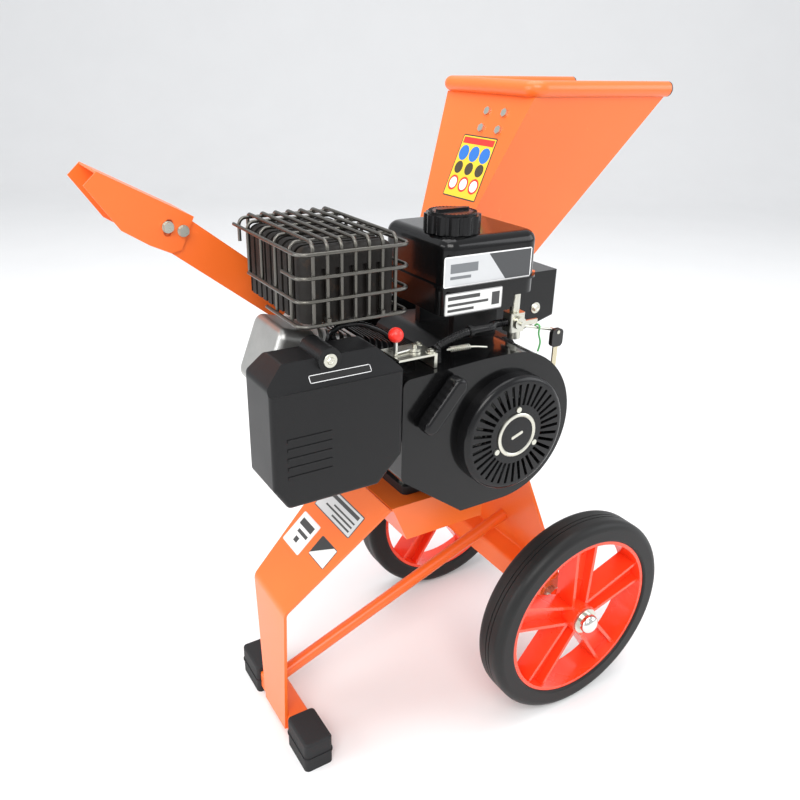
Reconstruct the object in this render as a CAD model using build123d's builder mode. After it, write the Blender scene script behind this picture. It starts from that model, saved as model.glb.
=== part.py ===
from build123d import *
import math
import os

# A petrol wood chipper on two wheels. X runs along the machine, Y across it and Z up.
# The origin lies on the ground, under the crankshaft, in the middle of the overall width.

# ---- driving dimensions, in millimetres ----
sheet = 4.0                 # frame sheet thickness
hopper_sheet = 2.5          # hopper, chute and deflector sheet
seat_gap = 0.1              # clearance of a piece seated in its neighbour
run_fit = 0.05              # radial clearance of a shaft in its bore
slip = 0.4                  # gap between pieces that move past each other

wheel_mid_y = -19.0         # plane midway between the wheels
wheel_track = 336.0         # between the wheels' middle planes
wheel_radius = 150.0
tyre_width = 48.0
rim_radius = 121.0
rim_width = 42.0
rim_wall = 5.0
hub_radius = 21.0
hub_length = 54.0
spoke_count = 5
axle_radius = 10.0
axle_x = 126.0
axle_z = wheel_radius

crank_z = 456.0
shaft_radius = 12.0
platform_z = 348.0          # top of the engine platform
platform_front_x = -127.0
platform_rear_x = 88.0
platform_near_y = -102.0
platform_far_y = 48.0
flange_depth = 53.0
flange_front_x = -98.0
flange_rear_x = 18.0

leg_x = -264.5              # middle of the lower leg's sheet
leg_bottom_z = 14.0
leg_bend_z = 220.0
leg_mid_y = -27.0
leg_width_bottom = 68.0
leg_width_bend = 99.0

foot_bar_size = 30.0
foot_bar_wall = 2.5
foot_bar_z = 23.0           # middle of the bar
foot_bar_length = 214.0
boot_wall = 5.0
boot_length = 60.0
brace_radius = 9.0
brace_front_z = 76.0
brace_rear_z = 219.0

rotor_near_y = 75.0         # near face of the rotor housing
rotor_depth = 86.0          # housing depth across the machine
housing_radius = 108.0
housing_wall = 4.0
rotor_radius = 100.0
rotor_thickness = 16.0

hopper_mouth_z = 822.0
hopper_throat_z = 586.0
engine_bolt_places = [(x, y) for x in (-81, 81) for y in (-58, 18)]
engine_bolt_radius = 4.0


# ---- helpers ----
os.makedirs("parts", exist_ok=True)


def save(name, label):
    name.part.label = label
    export_step(name.part, f"parts/{label}.step")


def side_plane(y):
    """Sketch plane across the machine: its x is X, its y is Z, and it grows towards +Y."""
    return Plane(origin=(0, y, 0), x_dir=(1, 0, 0), z_dir=(0, -1, 0))


def prism(points, y0, y1, corner=0.0):
    """A flat shape drawn in X and Z, standing from y0 to y1."""
    with BuildPart() as shape:
        with BuildSketch(side_plane(y0)) as outline:
            with BuildLine():
                Polyline(*points, close=True)
            make_face()
            if corner:
                fillet(outline.vertices(), corner)
        extrude(amount=-(y1 - y0))
    return shape.part


def rod(start, end, radius):
    """A round bar from one point to another."""
    axis = Vector(*end) - Vector(*start)
    with BuildPart() as shape:
        with BuildSketch(Plane(origin=start, z_dir=axis)):
            Circle(radius)
        extrude(amount=axis.length)
    return shape.part


def block(x, y, z, corner=0.0):
    """A box between pairs of X, Y and Z, with its upright edges rounded."""
    size = (x[1] - x[0], y[1] - y[0], z[1] - z[0])
    with BuildPart(Plane.XY.offset(z[0])) as shape:
        with BuildSketch(Plane((sum(x) / 2, sum(y) / 2, z[0]))):
            RectangleRounded(size[0], size[1], corner) if corner else Rectangle(size[0], size[1])
        extrude(amount=size[2])
    return shape.part


def bolt(at, direction, radius, head_radius, head_height, length):
    """A hexagon bolt: its head stands out along direction, its shank runs the other way."""
    with BuildPart() as shape:
        with BuildSketch(Plane(origin=at, z_dir=direction)):
            RegularPolygon(head_radius, 6)
        extrude(amount=head_height)
        with BuildSketch(Plane(origin=at, z_dir=direction)):
            Circle(radius)
        extrude(amount=-length)
    return shape.part


# ---- frame ----
leg_front_x = leg_x - sheet / 2
leg_back_x = leg_x + sheet / 2

with BuildPart() as front_leg:
    with BuildSketch(Plane.XZ.offset(150)):
        with BuildLine() as run:
            FilletPolyline((leg_x, leg_bottom_z), (leg_x, leg_bend_z),
                           (platform_front_x, platform_z - sheet / 2), radius=12)
        trace(run.line, line_width=sheet)
    extrude(amount=-300)
    # the flat blank: narrow at the floor, widest at the platform
    with BuildSketch(Plane.YZ.offset(leg_front_x - 2)):
        with BuildLine():
            Polyline((leg_mid_y - leg_width_bottom / 2, leg_bottom_z),
                     (leg_mid_y - leg_width_bend / 2, leg_bend_z),
                     (platform_near_y, platform_z), (platform_near_y, platform_z + 20),
                     (platform_far_y, platform_z + 20), (platform_far_y, platform_z),
                     (leg_mid_y + leg_width_bend / 2, leg_bend_z),
                     (leg_mid_y + leg_width_bottom / 2, leg_bottom_z), close=True)
        make_face()
    extrude(amount=200, mode=Mode.INTERSECT)
save(front_leg, "front_leg")

with BuildPart() as engine_platform:
    add(block((platform_front_x + 1.5, platform_rear_x), (platform_near_y, platform_far_y),
              (platform_z - sheet, platform_z)))
    for y in (platform_near_y, platform_far_y - sheet):
        add(prism([(flange_front_x, platform_z - sheet), (flange_rear_x, platform_z - sheet),
                   (flange_rear_x, platform_z - flange_depth), (flange_front_x, platform_z - flange_depth)],
                  y, y + sheet))
    # front cross web, bent down behind the leg
    add(prism([(platform_front_x + 4, platform_z - sheet), (flange_front_x, platform_z - sheet),
               (flange_front_x, platform_z - flange_depth), (flange_front_x - sheet, platform_z - flange_depth)],
              platform_near_y, platform_far_y))
    for x, y in engine_bolt_places:
        add(rod((x, y, platform_z - sheet - 1), (x, y, platform_z + 1), engine_bolt_radius + seat_gap),
            mode=Mode.SUBTRACT)
save(engine_platform, "engine_platform")

plate_top = (platform_rear_x + sheet / 2, platform_z - sheet / 2)
plate_knee = (axle_x + 15, axle_z + 21)
plate_lip = (axle_x - 15, axle_z + 15)
ear_y = wheel_track / 2 - tyre_width / 2 - 22
with BuildPart() as rear_plate:
    with BuildSketch(Plane.XZ.offset(250)):
        with BuildLine() as run:
            FilletPolyline(plate_top, plate_knee, plate_lip, (plate_lip[0], axle_z - 16), radius=4)
        trace(run.line, line_width=sheet)
    extrude(amount=-500)
    with BuildSketch(Plane.YZ.offset(platform_rear_x - 20)):
        with BuildLine():
            Polyline((wheel_mid_y - ear_y, axle_z - 20), (wheel_mid_y - ear_y, plate_knee[1] + 4),
                     (platform_near_y, platform_z + 4), (platform_far_y, platform_z + 4),
                     (wheel_mid_y + ear_y, plate_knee[1] + 4), (wheel_mid_y + ear_y, axle_z - 20), close=True)
        make_face()
    extrude(amount=150, mode=Mode.INTERSECT)
    for side in (-1, 1):
        y = wheel_mid_y + side * (ear_y - sheet / 2)
        with BuildSketch(side_plane(y - sheet / 2)):
            with BuildLine():
                Polyline((plate_lip[0], axle_z - 16), (plate_lip[0], plate_lip[1]),
                         (plate_knee[0], plate_knee[1]), (plate_knee[0] + 4, axle_z - 16), close=True)
            make_face()
        extrude(amount=-sheet)
    with BuildSketch(Plane.XZ.offset(250)):
        with Locations((axle_x, axle_z)):
            Circle(axle_radius + seat_gap)
    extrude(amount=-500, mode=Mode.SUBTRACT)
save(rear_plate, "rear_plate")

with BuildPart() as foot_bar:
    with BuildSketch(Plane.XZ.offset(-(wheel_mid_y - foot_bar_length / 2))):
        with Locations((leg_back_x + foot_bar_size / 2, foot_bar_z)):
            RectangleRounded(foot_bar_size, foot_bar_size, 4)
            inner = foot_bar_size - 2 * foot_bar_wall
            RectangleRounded(inner, inner, 1.5, mode=Mode.SUBTRACT)
    extrude(amount=-foot_bar_length)
save(foot_bar, "foot_bar")

bar_mid_x = leg_back_x + foot_bar_size / 2
for side, side_name in ((-1, "near"), (1, "far")):
    bar_end = wheel_mid_y + side * foot_bar_length / 2
    boot_end = bar_end + side * boot_wall
    low, high = sorted((boot_end, boot_end - side * boot_length))
    with BuildPart() as rubber_foot:
        half = foot_bar_size / 2 + boot_wall
        add(block((bar_mid_x - half, bar_mid_x + half), (low, high), (0, foot_bar_z + half + 3), 6))
        fillet(rubber_foot.faces().sort_by(Axis.Z)[-1].edges(), 4)
        with BuildSketch(Plane((bar_mid_x, (low + high) / 2, foot_bar_z - 3))):
            RectangleRounded(2 * half + 2.4, high - low + 2.4, 7)
        extrude(amount=2.5)
        bar_low, bar_high = sorted((bar_end + side * seat_gap, boot_end - side * (boot_length + 5)))
        with BuildSketch(Plane.XZ.offset(-bar_low)):
            with Locations((bar_mid_x, foot_bar_z)):
                Rectangle(foot_bar_size + 2 * seat_gap, foot_bar_size + 2 * seat_gap)
        extrude(amount=-(bar_high - bar_low), mode=Mode.SUBTRACT)
    save(rubber_foot, f"rubber_foot_{side_name}")

brace_y = leg_mid_y
with BuildPart() as brace_rod:
    slope = (brace_rear_z - brace_front_z) / (plate_top[0] + 25 - leg_back_x)
    add(rod((leg_back_x - 20, brace_y, brace_front_z - 20 * slope),
            (plate_top[0] + 50, brace_y, brace_rear_z + 25 * slope), brace_radius))
    # both ends are cut to lie on the leg and on the rear plate
    add(prism([(leg_back_x, 0), (leg_back_x - 60, 0), (leg_back_x - 60, 200), (leg_back_x, 200)],
              -150, 150), mode=Mode.SUBTRACT)
    lean = Vector(plate_knee[0] - plate_top[0], 0, plate_knee[1] - plate_top[1]).normalized()
    face = Vector(plate_top[0], 0, plate_top[1]) - Vector(-lean.Z, 0, lean.X) * (sheet / 2)
    high, low = face - lean * 20, face + lean * 190
    add(prism([(high.X, high.Z), (low.X, low.Z), (low.X + 90, low.Z), (high.X + 90, high.Z)],
              -150, 150), mode=Mode.SUBTRACT)
save(brace_rod, "brace_rod")

# ---- running gear ----
rim_bore = axle_radius + run_fit
washer_thickness = 2.5
cap_seat = wheel_track / 2 + hub_length / 2 + slip + washer_thickness
with BuildPart() as axle:
    end = cap_seat + 9
    add(rod((axle_x, wheel_mid_y - end, axle_z), (axle_x, wheel_mid_y + end, axle_z), axle_radius))
save(axle, "axle")

for side, side_name in ((-1, "near"), (1, "far")):
    mid = wheel_mid_y + side * wheel_track / 2
    wheel_plane = Plane(origin=(axle_x, mid, axle_z), x_dir=(1, 0, 0), z_dir=(0, -1, 0))
    with BuildPart() as wheel_rim:
        with BuildSketch(wheel_plane.offset(-rim_width / 2)):
            Circle(rim_radius - seat_gap)
            Circle(rim_radius - rim_wall, mode=Mode.SUBTRACT)
        extrude(amount=rim_width)
        with BuildSketch(wheel_plane.offset(-hub_length / 2)):
            Circle(hub_radius)
        extrude(amount=hub_length)
        # each spoke is a web with a deep rib along both edges
        reach = rim_radius - rim_wall + 1
        with BuildSketch(wheel_plane.offset(-3)):
            with PolarLocations(0, spoke_count, 90):
                with BuildLine(mode=Mode.PRIVATE) as web:
                    Polyline((hub_radius - 4, -15), (reach, -19), (reach, 19), (hub_radius - 4, 15), close=True)
                add(make_face(web.line, mode=Mode.PRIVATE))
        extrude(amount=6)
        with BuildSketch(wheel_plane.offset(-rim_width / 2 + 5)):
            with PolarLocations(0, spoke_count, 90):
                for edge in (-1, 1):
                    with BuildLine(mode=Mode.PRIVATE) as rib:
                        Polyline((hub_radius - 4, edge * 10), (reach, edge * 14.5),
                                 (reach, edge * 19), (hub_radius - 4, edge * 15), close=True)
                    add(make_face(rib.line, mode=Mode.PRIVATE))
        extrude(amount=rim_width - 10)
        with BuildSketch(wheel_plane.offset(-hub_length)):
            Circle(rim_bore)
        extrude(amount=2 * hub_length, mode=Mode.SUBTRACT)
    save(wheel_rim, f"wheel_rim_{side_name}")

    with BuildPart() as tyre:
        with BuildSketch(Plane(origin=(axle_x, mid, axle_z), x_dir=(1, 0, 0), z_dir=(0, 0, 1))) as section:
            with Locations(((rim_radius + wheel_radius) / 2, 0)):
                Rectangle(wheel_radius - rim_radius, tyre_width)
            fillet(section.vertices().group_by(Axis.X)[-1], 11)
            fillet(section.vertices().group_by(Axis.X)[0], 4)
            for groove in (-3, 3):
                with Locations((wheel_radius, groove)):
                    Rectangle(2.4, 1.2, mode=Mode.SUBTRACT)
        revolve(axis=Axis((axle_x, mid, axle_z), (0, 1, 0)))
    save(tyre, f"tyre_{side_name}")

with BuildPart() as axle_washers:
    for side in (-1, 1):
        for place in (cap_seat - washer_thickness / 2,
                      wheel_track / 2 - hub_length / 2 - slip - washer_thickness / 2):
            y = wheel_mid_y + side * place
            with BuildSketch(Plane.XZ.offset(-(y - washer_thickness / 2))):
                with Locations((axle_x, axle_z)):
                    Circle(hub_radius - 2)
                    Circle(axle_radius + seat_gap, mode=Mode.SUBTRACT)
            extrude(amount=-washer_thickness)
save(axle_washers, "axle_washers")

cap_depth = 15.0
cap_radius = 14.0
with BuildPart() as hub_caps:
    for side in (-1, 1):
        seat = wheel_mid_y + side * cap_seat
        hub_end = seat + side * cap_depth
        with BuildSketch(Plane(origin=(axle_x, seat, axle_z), z_dir=(0, side, 0))):
            Circle(cap_radius)
        extrude(amount=cap_depth)
        crown = hub_caps.edges().filter_by(GeomType.CIRCLE).filter_by_position(Axis.Y, hub_end - 0.1, hub_end + 0.1)
        fillet(crown, 9)
        with BuildSketch(Plane(origin=(axle_x, seat, axle_z), z_dir=(0, side, 0))):
            Circle(axle_radius + seat_gap)
        extrude(amount=12 + seat_gap - 3, mode=Mode.SUBTRACT)
save(hub_caps, "hub_caps")

# ---- chipping chamber ----
feed_right_x = 278.0
feed_floor_z = 494.0
feed_top_z = 568.0
throat_x = (59.0, 219.0)
cover_thickness = 4.0
rotor_far_y = rotor_near_y + rotor_depth
cover_y = rotor_far_y - cover_thickness
chamber = Vector(0, 0, crank_z)

# the discharge duct leaves the chamber along duct_dir, between two distances from the shaft
duct_angle = 141.8
duct_low = -42.0
duct_high = 2.0
duct_start = 80.0
duct_end = 410.0
duct_dir = Vector(math.cos(math.radians(duct_angle)), 0, math.sin(math.radians(duct_angle)))
duct_up = Vector(duct_dir.Z, 0, -duct_dir.X)


def duct_point(along, across):
    point = chamber + duct_dir * along + duct_up * across
    return point.X, point.Z


def duct_quad(start, end, low, high):
    return [duct_point(start, low), duct_point(end, low), duct_point(end, high), duct_point(start, high)]


ear_radius = 9.0
ear_place = housing_radius + housing_wall + 5
ear_angles = (118, 185, 225, 265, 305, 340)
cover_bolt_places = [(ear_place * math.cos(math.radians(a)), crank_z + ear_place * math.sin(math.radians(a)))
                     for a in ear_angles]


def chamber_outline(y0, y1, inset):
    """The chamber's drum joined with the feed box, drawn in by inset. At no inset it has the bolts' ears."""
    with BuildPart() as shape:
        with BuildSketch(side_plane(y0)):
            with Locations((0, crank_z)):
                Circle(housing_radius + housing_wall - inset)
            with BuildLine():
                Polyline((20, feed_top_z - inset), (feed_right_x - inset, feed_top_z - inset),
                         (feed_right_x - inset, feed_floor_z + inset),
                         (100, feed_floor_z - 50 + inset), (20, crank_z), close=True)
            make_face()
            if inset == 0:
                with Locations(*cover_bolt_places):
                    Circle(ear_radius)
        extrude(amount=-(y1 - y0))
    return shape.part


cover_bolt_radius = 4.0
pilot_radius = 32.0

with BuildPart() as rotor_housing:
    add(chamber_outline(rotor_near_y, cover_y - seat_gap, 0))
    add(chamber_outline(rotor_near_y + housing_wall, cover_y, housing_wall), mode=Mode.SUBTRACT)
    for x, z in cover_bolt_places:
        add(rod((x, rotor_near_y + 30, z), (x, cover_y, z), cover_bolt_radius + seat_gap), mode=Mode.SUBTRACT)
    add(block(throat_x, (rotor_near_y + housing_wall, cover_y), (feed_top_z - 10, feed_top_z + 10)),
        mode=Mode.SUBTRACT)
    add(prism(duct_quad(70, 130, duct_low, duct_high), rotor_near_y + housing_wall, cover_y), mode=Mode.SUBTRACT)
    add(rod((0, rotor_near_y - 1, crank_z), (0, rotor_near_y + 10, crank_z), pilot_radius), mode=Mode.SUBTRACT)
save(rotor_housing, "rotor_housing")

with BuildPart() as housing_cover:
    add(chamber_outline(cover_y, rotor_far_y, 0))
    for x, z in cover_bolt_places:
        add(rod((x, cover_y - 1, z), (x, rotor_far_y + 1, z), cover_bolt_radius + seat_gap), mode=Mode.SUBTRACT)
    # pressed stiffening ring
    with BuildSketch(side_plane(rotor_far_y)):
        with Locations((0, crank_z)):
            Circle(74)
            Circle(66, mode=Mode.SUBTRACT)
    extrude(amount=-2)
save(housing_cover, "housing_cover")

with BuildPart() as cover_bolts:
    for x, z in cover_bolt_places:
        add(bolt((x, rotor_far_y, z), (0, 1, 0), cover_bolt_radius, 7, 5, 22))
save(cover_bolts, "cover_bolts")

rotor_y = rotor_near_y + 26
with BuildPart() as rotor_disc:
    add(rod((0, rotor_y, crank_z), (0, rotor_y + rotor_thickness, crank_z), rotor_radius))
    add(rod((0, rotor_y - 14, crank_z), (0, rotor_y + 1, crank_z), 30))
    # throwing paddles behind the disc
    with BuildSketch(Plane(origin=(0, rotor_y - 14, crank_z), x_dir=(1, 0, 0), z_dir=(0, -1, 0))):
        with PolarLocations(60, 4):
            Rectangle(68, 6)
    extrude(amount=-15)
    add(rod((0, rotor_y - 20, crank_z), (0, rotor_y + 40, crank_z), shaft_radius + seat_gap), mode=Mode.SUBTRACT)
    # chip slots and the knife bolts' holes
    for turn in (1, -1):
        add(block((48 * turn - 4, 48 * turn + 4), (rotor_y - 1, rotor_y + 20), (crank_z - 36, crank_z + 36)),
            mode=Mode.SUBTRACT)
        for z in (-24, 24):
            place = (turn * 68, rotor_y - 1, crank_z + z)
            add(rod(place, (place[0], rotor_y + 20, place[2]), 3 + seat_gap), mode=Mode.SUBTRACT)
save(rotor_disc, "rotor_disc")

knife_thickness = 6.0
knife_y = rotor_y + rotor_thickness
with BuildPart() as chipper_knives:
    for turn in (1, -1):
        with BuildSketch(Plane(origin=(0, 0, crank_z - 38), x_dir=(1, 0, 0), z_dir=(0, 0, 1))):
            with BuildLine():
                Polyline((turn * 50, knife_y + knife_thickness), (turn * 86, knife_y + knife_thickness),
                         (turn * 86, knife_y), (turn * 56, knife_y), close=True)
            make_face()
        extrude(amount=76)
        for z in (-24, 24):
            add(rod((turn * 68, knife_y - 1, crank_z + z), (turn * 68, knife_y + 20, crank_z + z), 3 + seat_gap),
                mode=Mode.SUBTRACT)
save(chipper_knives, "chipper_knives")

with BuildPart() as knife_bolts:
    for turn in (1, -1):
        for z in (-24, 24):
            add(bolt((turn * 68, knife_y + knife_thickness, crank_z + z), (0, 1, 0), 3, 5.5, 4, 20))
save(knife_bolts, "knife_bolts")

with BuildPart() as rotor_nut:
    add(rod((0, knife_y, crank_z), (0, knife_y + 3, crank_z), 22))
    add(bolt((0, knife_y + 3, crank_z), (0, 1, 0), 8, 12, 9, 1))
save(rotor_nut, "rotor_bolt")

anvil_x = (52.0, 100.0)
with BuildPart() as anvil_bar:
    add(block(anvil_x, (knife_y + knife_thickness + 6, cover_y - seat_gap),
              (crank_z - 14, crank_z - 2)))
save(anvil_bar, "anvil_bar")

# ---- hopper ----
tube_radius = 10.5
half_length = 407.0
half_width = -wheel_mid_y + cap_seat + cap_depth
mouth_x = (157.0, half_length - 5)
mouth_y = (22.0, half_width - tube_radius)
throat_y = (rotor_near_y + 2, rotor_far_y - 2)


def funnel(inset, low, high):
    """The hopper's tapering body, drawn in by inset, between two heights."""
    with BuildPart() as shape:
        for z in (low, high):
            share = (z - hopper_throat_z) / (hopper_mouth_z - hopper_throat_z)
            x = [a + (b - a) * share for a, b in zip(throat_x, mouth_x)]
            y = [a + (b - a) * share for a, b in zip(throat_y, mouth_y)]
            with BuildSketch(Plane((sum(x) / 2, sum(y) / 2, z))):
                Rectangle(x[1] - x[0] - 2 * inset, y[1] - y[0] - 2 * inset)
        loft()
    return shape.part


hopper_bolt_places = [(y, z) for y in (70, 108) for z in (800, 778)]


def hopper_back_x(z):
    share = (z - hopper_throat_z) / (hopper_mouth_z - hopper_throat_z)
    return throat_x[0] + (mouth_x[0] - throat_x[0]) * share


back_lean = Vector(-(hopper_mouth_z - hopper_throat_z), 0, mouth_x[0] - throat_x[0]).normalized()
with BuildPart() as hopper:
    add(funnel(0, hopper_throat_z, hopper_mouth_z))
    add(block(throat_x, throat_y, (feed_top_z, hopper_throat_z)))
    # flange that lies on the feed box
    add(block((throat_x[0] - 14, throat_x[1] + 14), (rotor_near_y, rotor_far_y), (feed_top_z, feed_top_z + 3)))
    add(funnel(hopper_sheet, hopper_throat_z - 0.001, hopper_mouth_z + 0.001), mode=Mode.SUBTRACT)
    add(block((throat_x[0] + hopper_sheet, throat_x[1] - hopper_sheet),
              (throat_y[0] + hopper_sheet, throat_y[1] - hopper_sheet), (feed_top_z - 1, hopper_throat_z + 0.001)),
        mode=Mode.SUBTRACT)
    for y, z in hopper_bolt_places:
        start = Vector(hopper_back_x(z), y, z)
        add(rod(start + back_lean * 6, start - back_lean * 6, 3 + seat_gap), mode=Mode.SUBTRACT)
save(hopper, "hopper")

flap_thickness = 3.0
with BuildPart() as hopper_bolts:
    for y, z in hopper_bolt_places:
        add(bolt(Vector(hopper_back_x(z), y, z), back_lean, 3, 6, 3.5, hopper_sheet + flap_thickness + 3))
save(hopper_bolts, "hopper_bolts")

with BuildPart() as hopper_flap:
    slope = Vector(mouth_x[0] - throat_x[0], 0, hopper_mouth_z - hopper_throat_z).normalized()
    top = Vector(hopper_back_x(812), 0, 812) - back_lean * (hopper_sheet + seat_gap)
    low = top - slope * 90
    add(prism([(top.X, top.Z), (low.X, low.Z), ((low - back_lean * flap_thickness).X, (low - back_lean * flap_thickness).Z),
               ((top - back_lean * flap_thickness).X, (top - back_lean * flap_thickness).Z)], 48, 175))
    for y, z in hopper_bolt_places:
        start = Vector(hopper_back_x(z), y, z)
        add(rod(start, start - back_lean * 20, 3 + seat_gap), mode=Mode.SUBTRACT)
save(hopper_flap, "hopper_flap")

tube_z = hopper_mouth_z + tube_radius + seat_gap
with BuildPart() as hopper_rim_tube:
    with BuildLine() as route:
        FilletPolyline((half_length - 2, mouth_y[0], tube_z), (mouth_x[0], mouth_y[0], tube_z),
                       (mouth_x[0], mouth_y[1], tube_z), (half_length - 2, mouth_y[1], tube_z), radius=14)
    with BuildSketch(Plane(origin=(half_length - 2, mouth_y[0], tube_z), z_dir=(-1, 0, 0))):
        Circle(tube_radius)
        Circle(tube_radius - 2, mode=Mode.SUBTRACT)
    sweep()
save(hopper_rim_tube, "hopper_rim_tube")

with BuildPart() as tube_end_caps:
    for y in mouth_y:
        add(rod((half_length - 2, y, tube_z), (half_length, y, tube_z), tube_radius))
        add(rod((half_length - 12, y, tube_z), (half_length - 1, y, tube_z), tube_radius - 2 - seat_gap))
save(tube_end_caps, "tube_end_caps")

# ---- discharge ----
chute_y = (rotor_near_y + 1, rotor_far_y - 1)
pivot = duct_point(379, -13)
guide = duct_point(396, -19)
pin_radius = 4.0
with BuildPart() as discharge_chute:
    add(prism(duct_quad(duct_start, duct_end, duct_low, duct_high), *chute_y))
    add(prism(duct_quad(duct_start - 10, duct_end + 10, duct_low + hopper_sheet, duct_high - hopper_sheet),
              chute_y[0] + hopper_sheet, chute_y[1] - hopper_sheet), mode=Mode.SUBTRACT)
    # the drum's outside is its seat
    add(rod((0, 0, crank_z), (0, 200, crank_z), housing_radius + housing_wall + seat_gap), mode=Mode.SUBTRACT)
    # the end is cut back above so that the deflector can tilt down over it
    add(prism([duct_point(385, duct_high + 8), duct_point(duct_end + 5, duct_high + 8),
               duct_point(duct_end + 5, duct_high - 14), duct_point(385, duct_high)], 0, 200), mode=Mode.SUBTRACT)
    for place in (pivot, guide):
        add(rod((place[0], 0, place[1]), (place[0], 200, place[1]), pin_radius + seat_gap), mode=Mode.SUBTRACT)
save(discharge_chute, "discharge_chute")

tilt_down = 12
tilt_up = 20
deflector_top = [(-292, 695), (-392, 750)]
deflector_tip = (-half_length, 736)
plate_near = (chute_y[0] - slip - hopper_sheet, chute_y[0] - slip)
plate_far = (chute_y[1] + slip, chute_y[1] + slip + hopper_sheet)
rise = Vector(deflector_top[1][0] - deflector_top[0][0], 0, deflector_top[1][1] - deflector_top[0][1]).normalized()
under = Vector(-rise.Z, 0, rise.X) * hopper_sheet
with BuildPart() as deflector:
    outline = [deflector_top[0], deflector_top[1], deflector_tip, (-374, 686), (-345, 667),
               duct_point(376, duct_low), duct_point(368, duct_low + 10)]
    for low, high in (plate_near, plate_far):
        add(prism(outline, low, high))
    # folded top
    fold = [Vector(x, 0, z) for x, z in deflector_top]
    fold += [fold[1] + under, fold[0] + under]
    add(prism([(p.X, p.Z) for p in fold], plate_near[0], plate_far[1]))
    add(rod((pivot[0], 0, pivot[1]), (pivot[0], 200, pivot[1]), pin_radius + run_fit), mode=Mode.SUBTRACT)
    # curved slots that slide over the guide bolts
    reach = (Vector(*guide) - Vector(*pivot)).length
    heading = math.degrees(math.atan2(guide[1] - pivot[1], guide[0] - pivot[0]))
    with BuildSketch(side_plane(0)):
        with BuildLine(mode=Mode.PRIVATE) as slot_run:
            CenterArc(pivot, reach, heading - tilt_down - 2, tilt_up + tilt_down + 4)
        SlotArc(slot_run.edges()[0], 2 * (pin_radius + slip))
    extrude(amount=-200, mode=Mode.SUBTRACT)
save(deflector, "deflector")

with BuildPart() as deflector_bolts:
    for place in (pivot, guide):
        for face_y, way in ((plate_near[0] - slip, -1), (plate_far[1] + slip, 1)):
            add(rod((place[0], face_y, place[1]), (place[0], face_y + way * 1.5, place[1]), 6.8))
            add(bolt((place[0], face_y + way * 1.5, place[1]), (0, way, 0), pin_radius, 6, 4, 12))
save(deflector_bolts, "deflector_bolts")

# ---- engine block ----
block_near_y = -92.0
block_far_y = 52.0
foot_height = 8.0
bore_lean = 21.0            # the cylinder leans back from level
lean_dir = Vector(-math.cos(math.radians(bore_lean)), 0, math.sin(math.radians(bore_lean)))
bore_y = -22.0
fin_start = 86.0
fin_count = 12
fin_pitch = 8.5
head_start = fin_start + fin_count * fin_pitch
head_length = 44.0
valve_start = head_start + head_length + seat_gap
valve_length = 46.0
bore_radius = 35.0


def bore_plane(distance):
    """A plane square to the cylinder, at a distance from the crankshaft; its x is Y."""
    place = Vector(0, bore_y, crank_z) + lean_dir * distance
    return Plane(origin=place, x_dir=(0, 1, 0), z_dir=lean_dir)


neck_seat = Vector(102, -40, 410)
neck_way = Vector(20, -6, 14).normalized()
tank_bottom = 598.0
tank_lug_y = (-76, 0)
with BuildPart() as crankcase:
    with BuildSketch(side_plane(block_near_y)) as case_outline:
        with BuildLine():
            Polyline((-84, platform_z + foot_height), (84, platform_z + foot_height), (86, 500), (52, 546),
                     (-44, 552), (-84, 520), close=True)
        make_face()
        fillet(case_outline.vertices(), 12)
    extrude(amount=-(block_far_y - block_near_y))
    add(block((-96, 96), (block_near_y + 10, block_far_y - 8), (platform_z, platform_z + foot_height + 4), 8))
    with BuildSketch(bore_plane(fin_start - seat_gap)):
        Rectangle(300, 200)
    extrude(amount=80, mode=Mode.SUBTRACT)
    # stub that the cylinder stands on
    with BuildSketch(bore_plane(60)):
        RectangleRounded(88, 88, 10)
    extrude(amount=fin_start - 60 - seat_gap)
    # power take-off boss and pilot
    add(rod((0, block_far_y, crank_z), (0, rotor_near_y - seat_gap, crank_z), 52))
    add(rod((0, rotor_near_y - 1, crank_z), (0, rotor_near_y + housing_wall, crank_z), pilot_radius - seat_gap))
    # working space
    add(block((-62, 62), (block_near_y + 12, block_far_y - 10), (platform_z + 20, 520)), mode=Mode.SUBTRACT)
    with BuildSketch(bore_plane(20)):
        Circle(bore_radius)
    extrude(amount=120, mode=Mode.SUBTRACT)
    add(rod((0, block_near_y - 5, crank_z), (0, rotor_near_y + 10, crank_z), shaft_radius + run_fit),
        mode=Mode.SUBTRACT)
    for x, y in engine_bolt_places:
        add(rod((x, y, platform_z - 1), (x, y, platform_z + foot_height + 5), engine_bolt_radius + seat_gap),
            mode=Mode.SUBTRACT)
        add(rod((x, y, platform_z + foot_height + 4), (x, y, platform_z + foot_height + 40), 13), mode=Mode.SUBTRACT)
    # dipstick neck
    add(rod(neck_seat - neck_way * 30, neck_seat, 11))
    add(rod(neck_seat - neck_way * 16, neck_seat + neck_way, 7), mode=Mode.SUBTRACT)
    # lugs that carry the fuel tank
    for y in tank_lug_y:
        add(block((-30, 36), (y - 5, y + 5), (530, tank_bottom - seat_gap)))
save(crankcase, "crankcase")

with BuildPart() as engine_bolts:
    for x, y in engine_bolt_places:
        add(bolt((x, y, platform_z + foot_height + 4), (0, 0, 1), engine_bolt_radius, 7.5, 5.5, 24))
        with BuildSketch(Plane((x, y, platform_z - sheet - 6))):
            RegularPolygon(7.5, 6)
        extrude(amount=6)
save(engine_bolts, "engine_bolts")

with BuildPart() as oil_dipstick:
    add(rod(neck_seat + neck_way * seat_gap, neck_seat + neck_way * 12, 13))
    add(rod(neck_seat - neck_way * 14, neck_seat + neck_way, 6.8))
save(oil_dipstick, "oil_dipstick")

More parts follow.
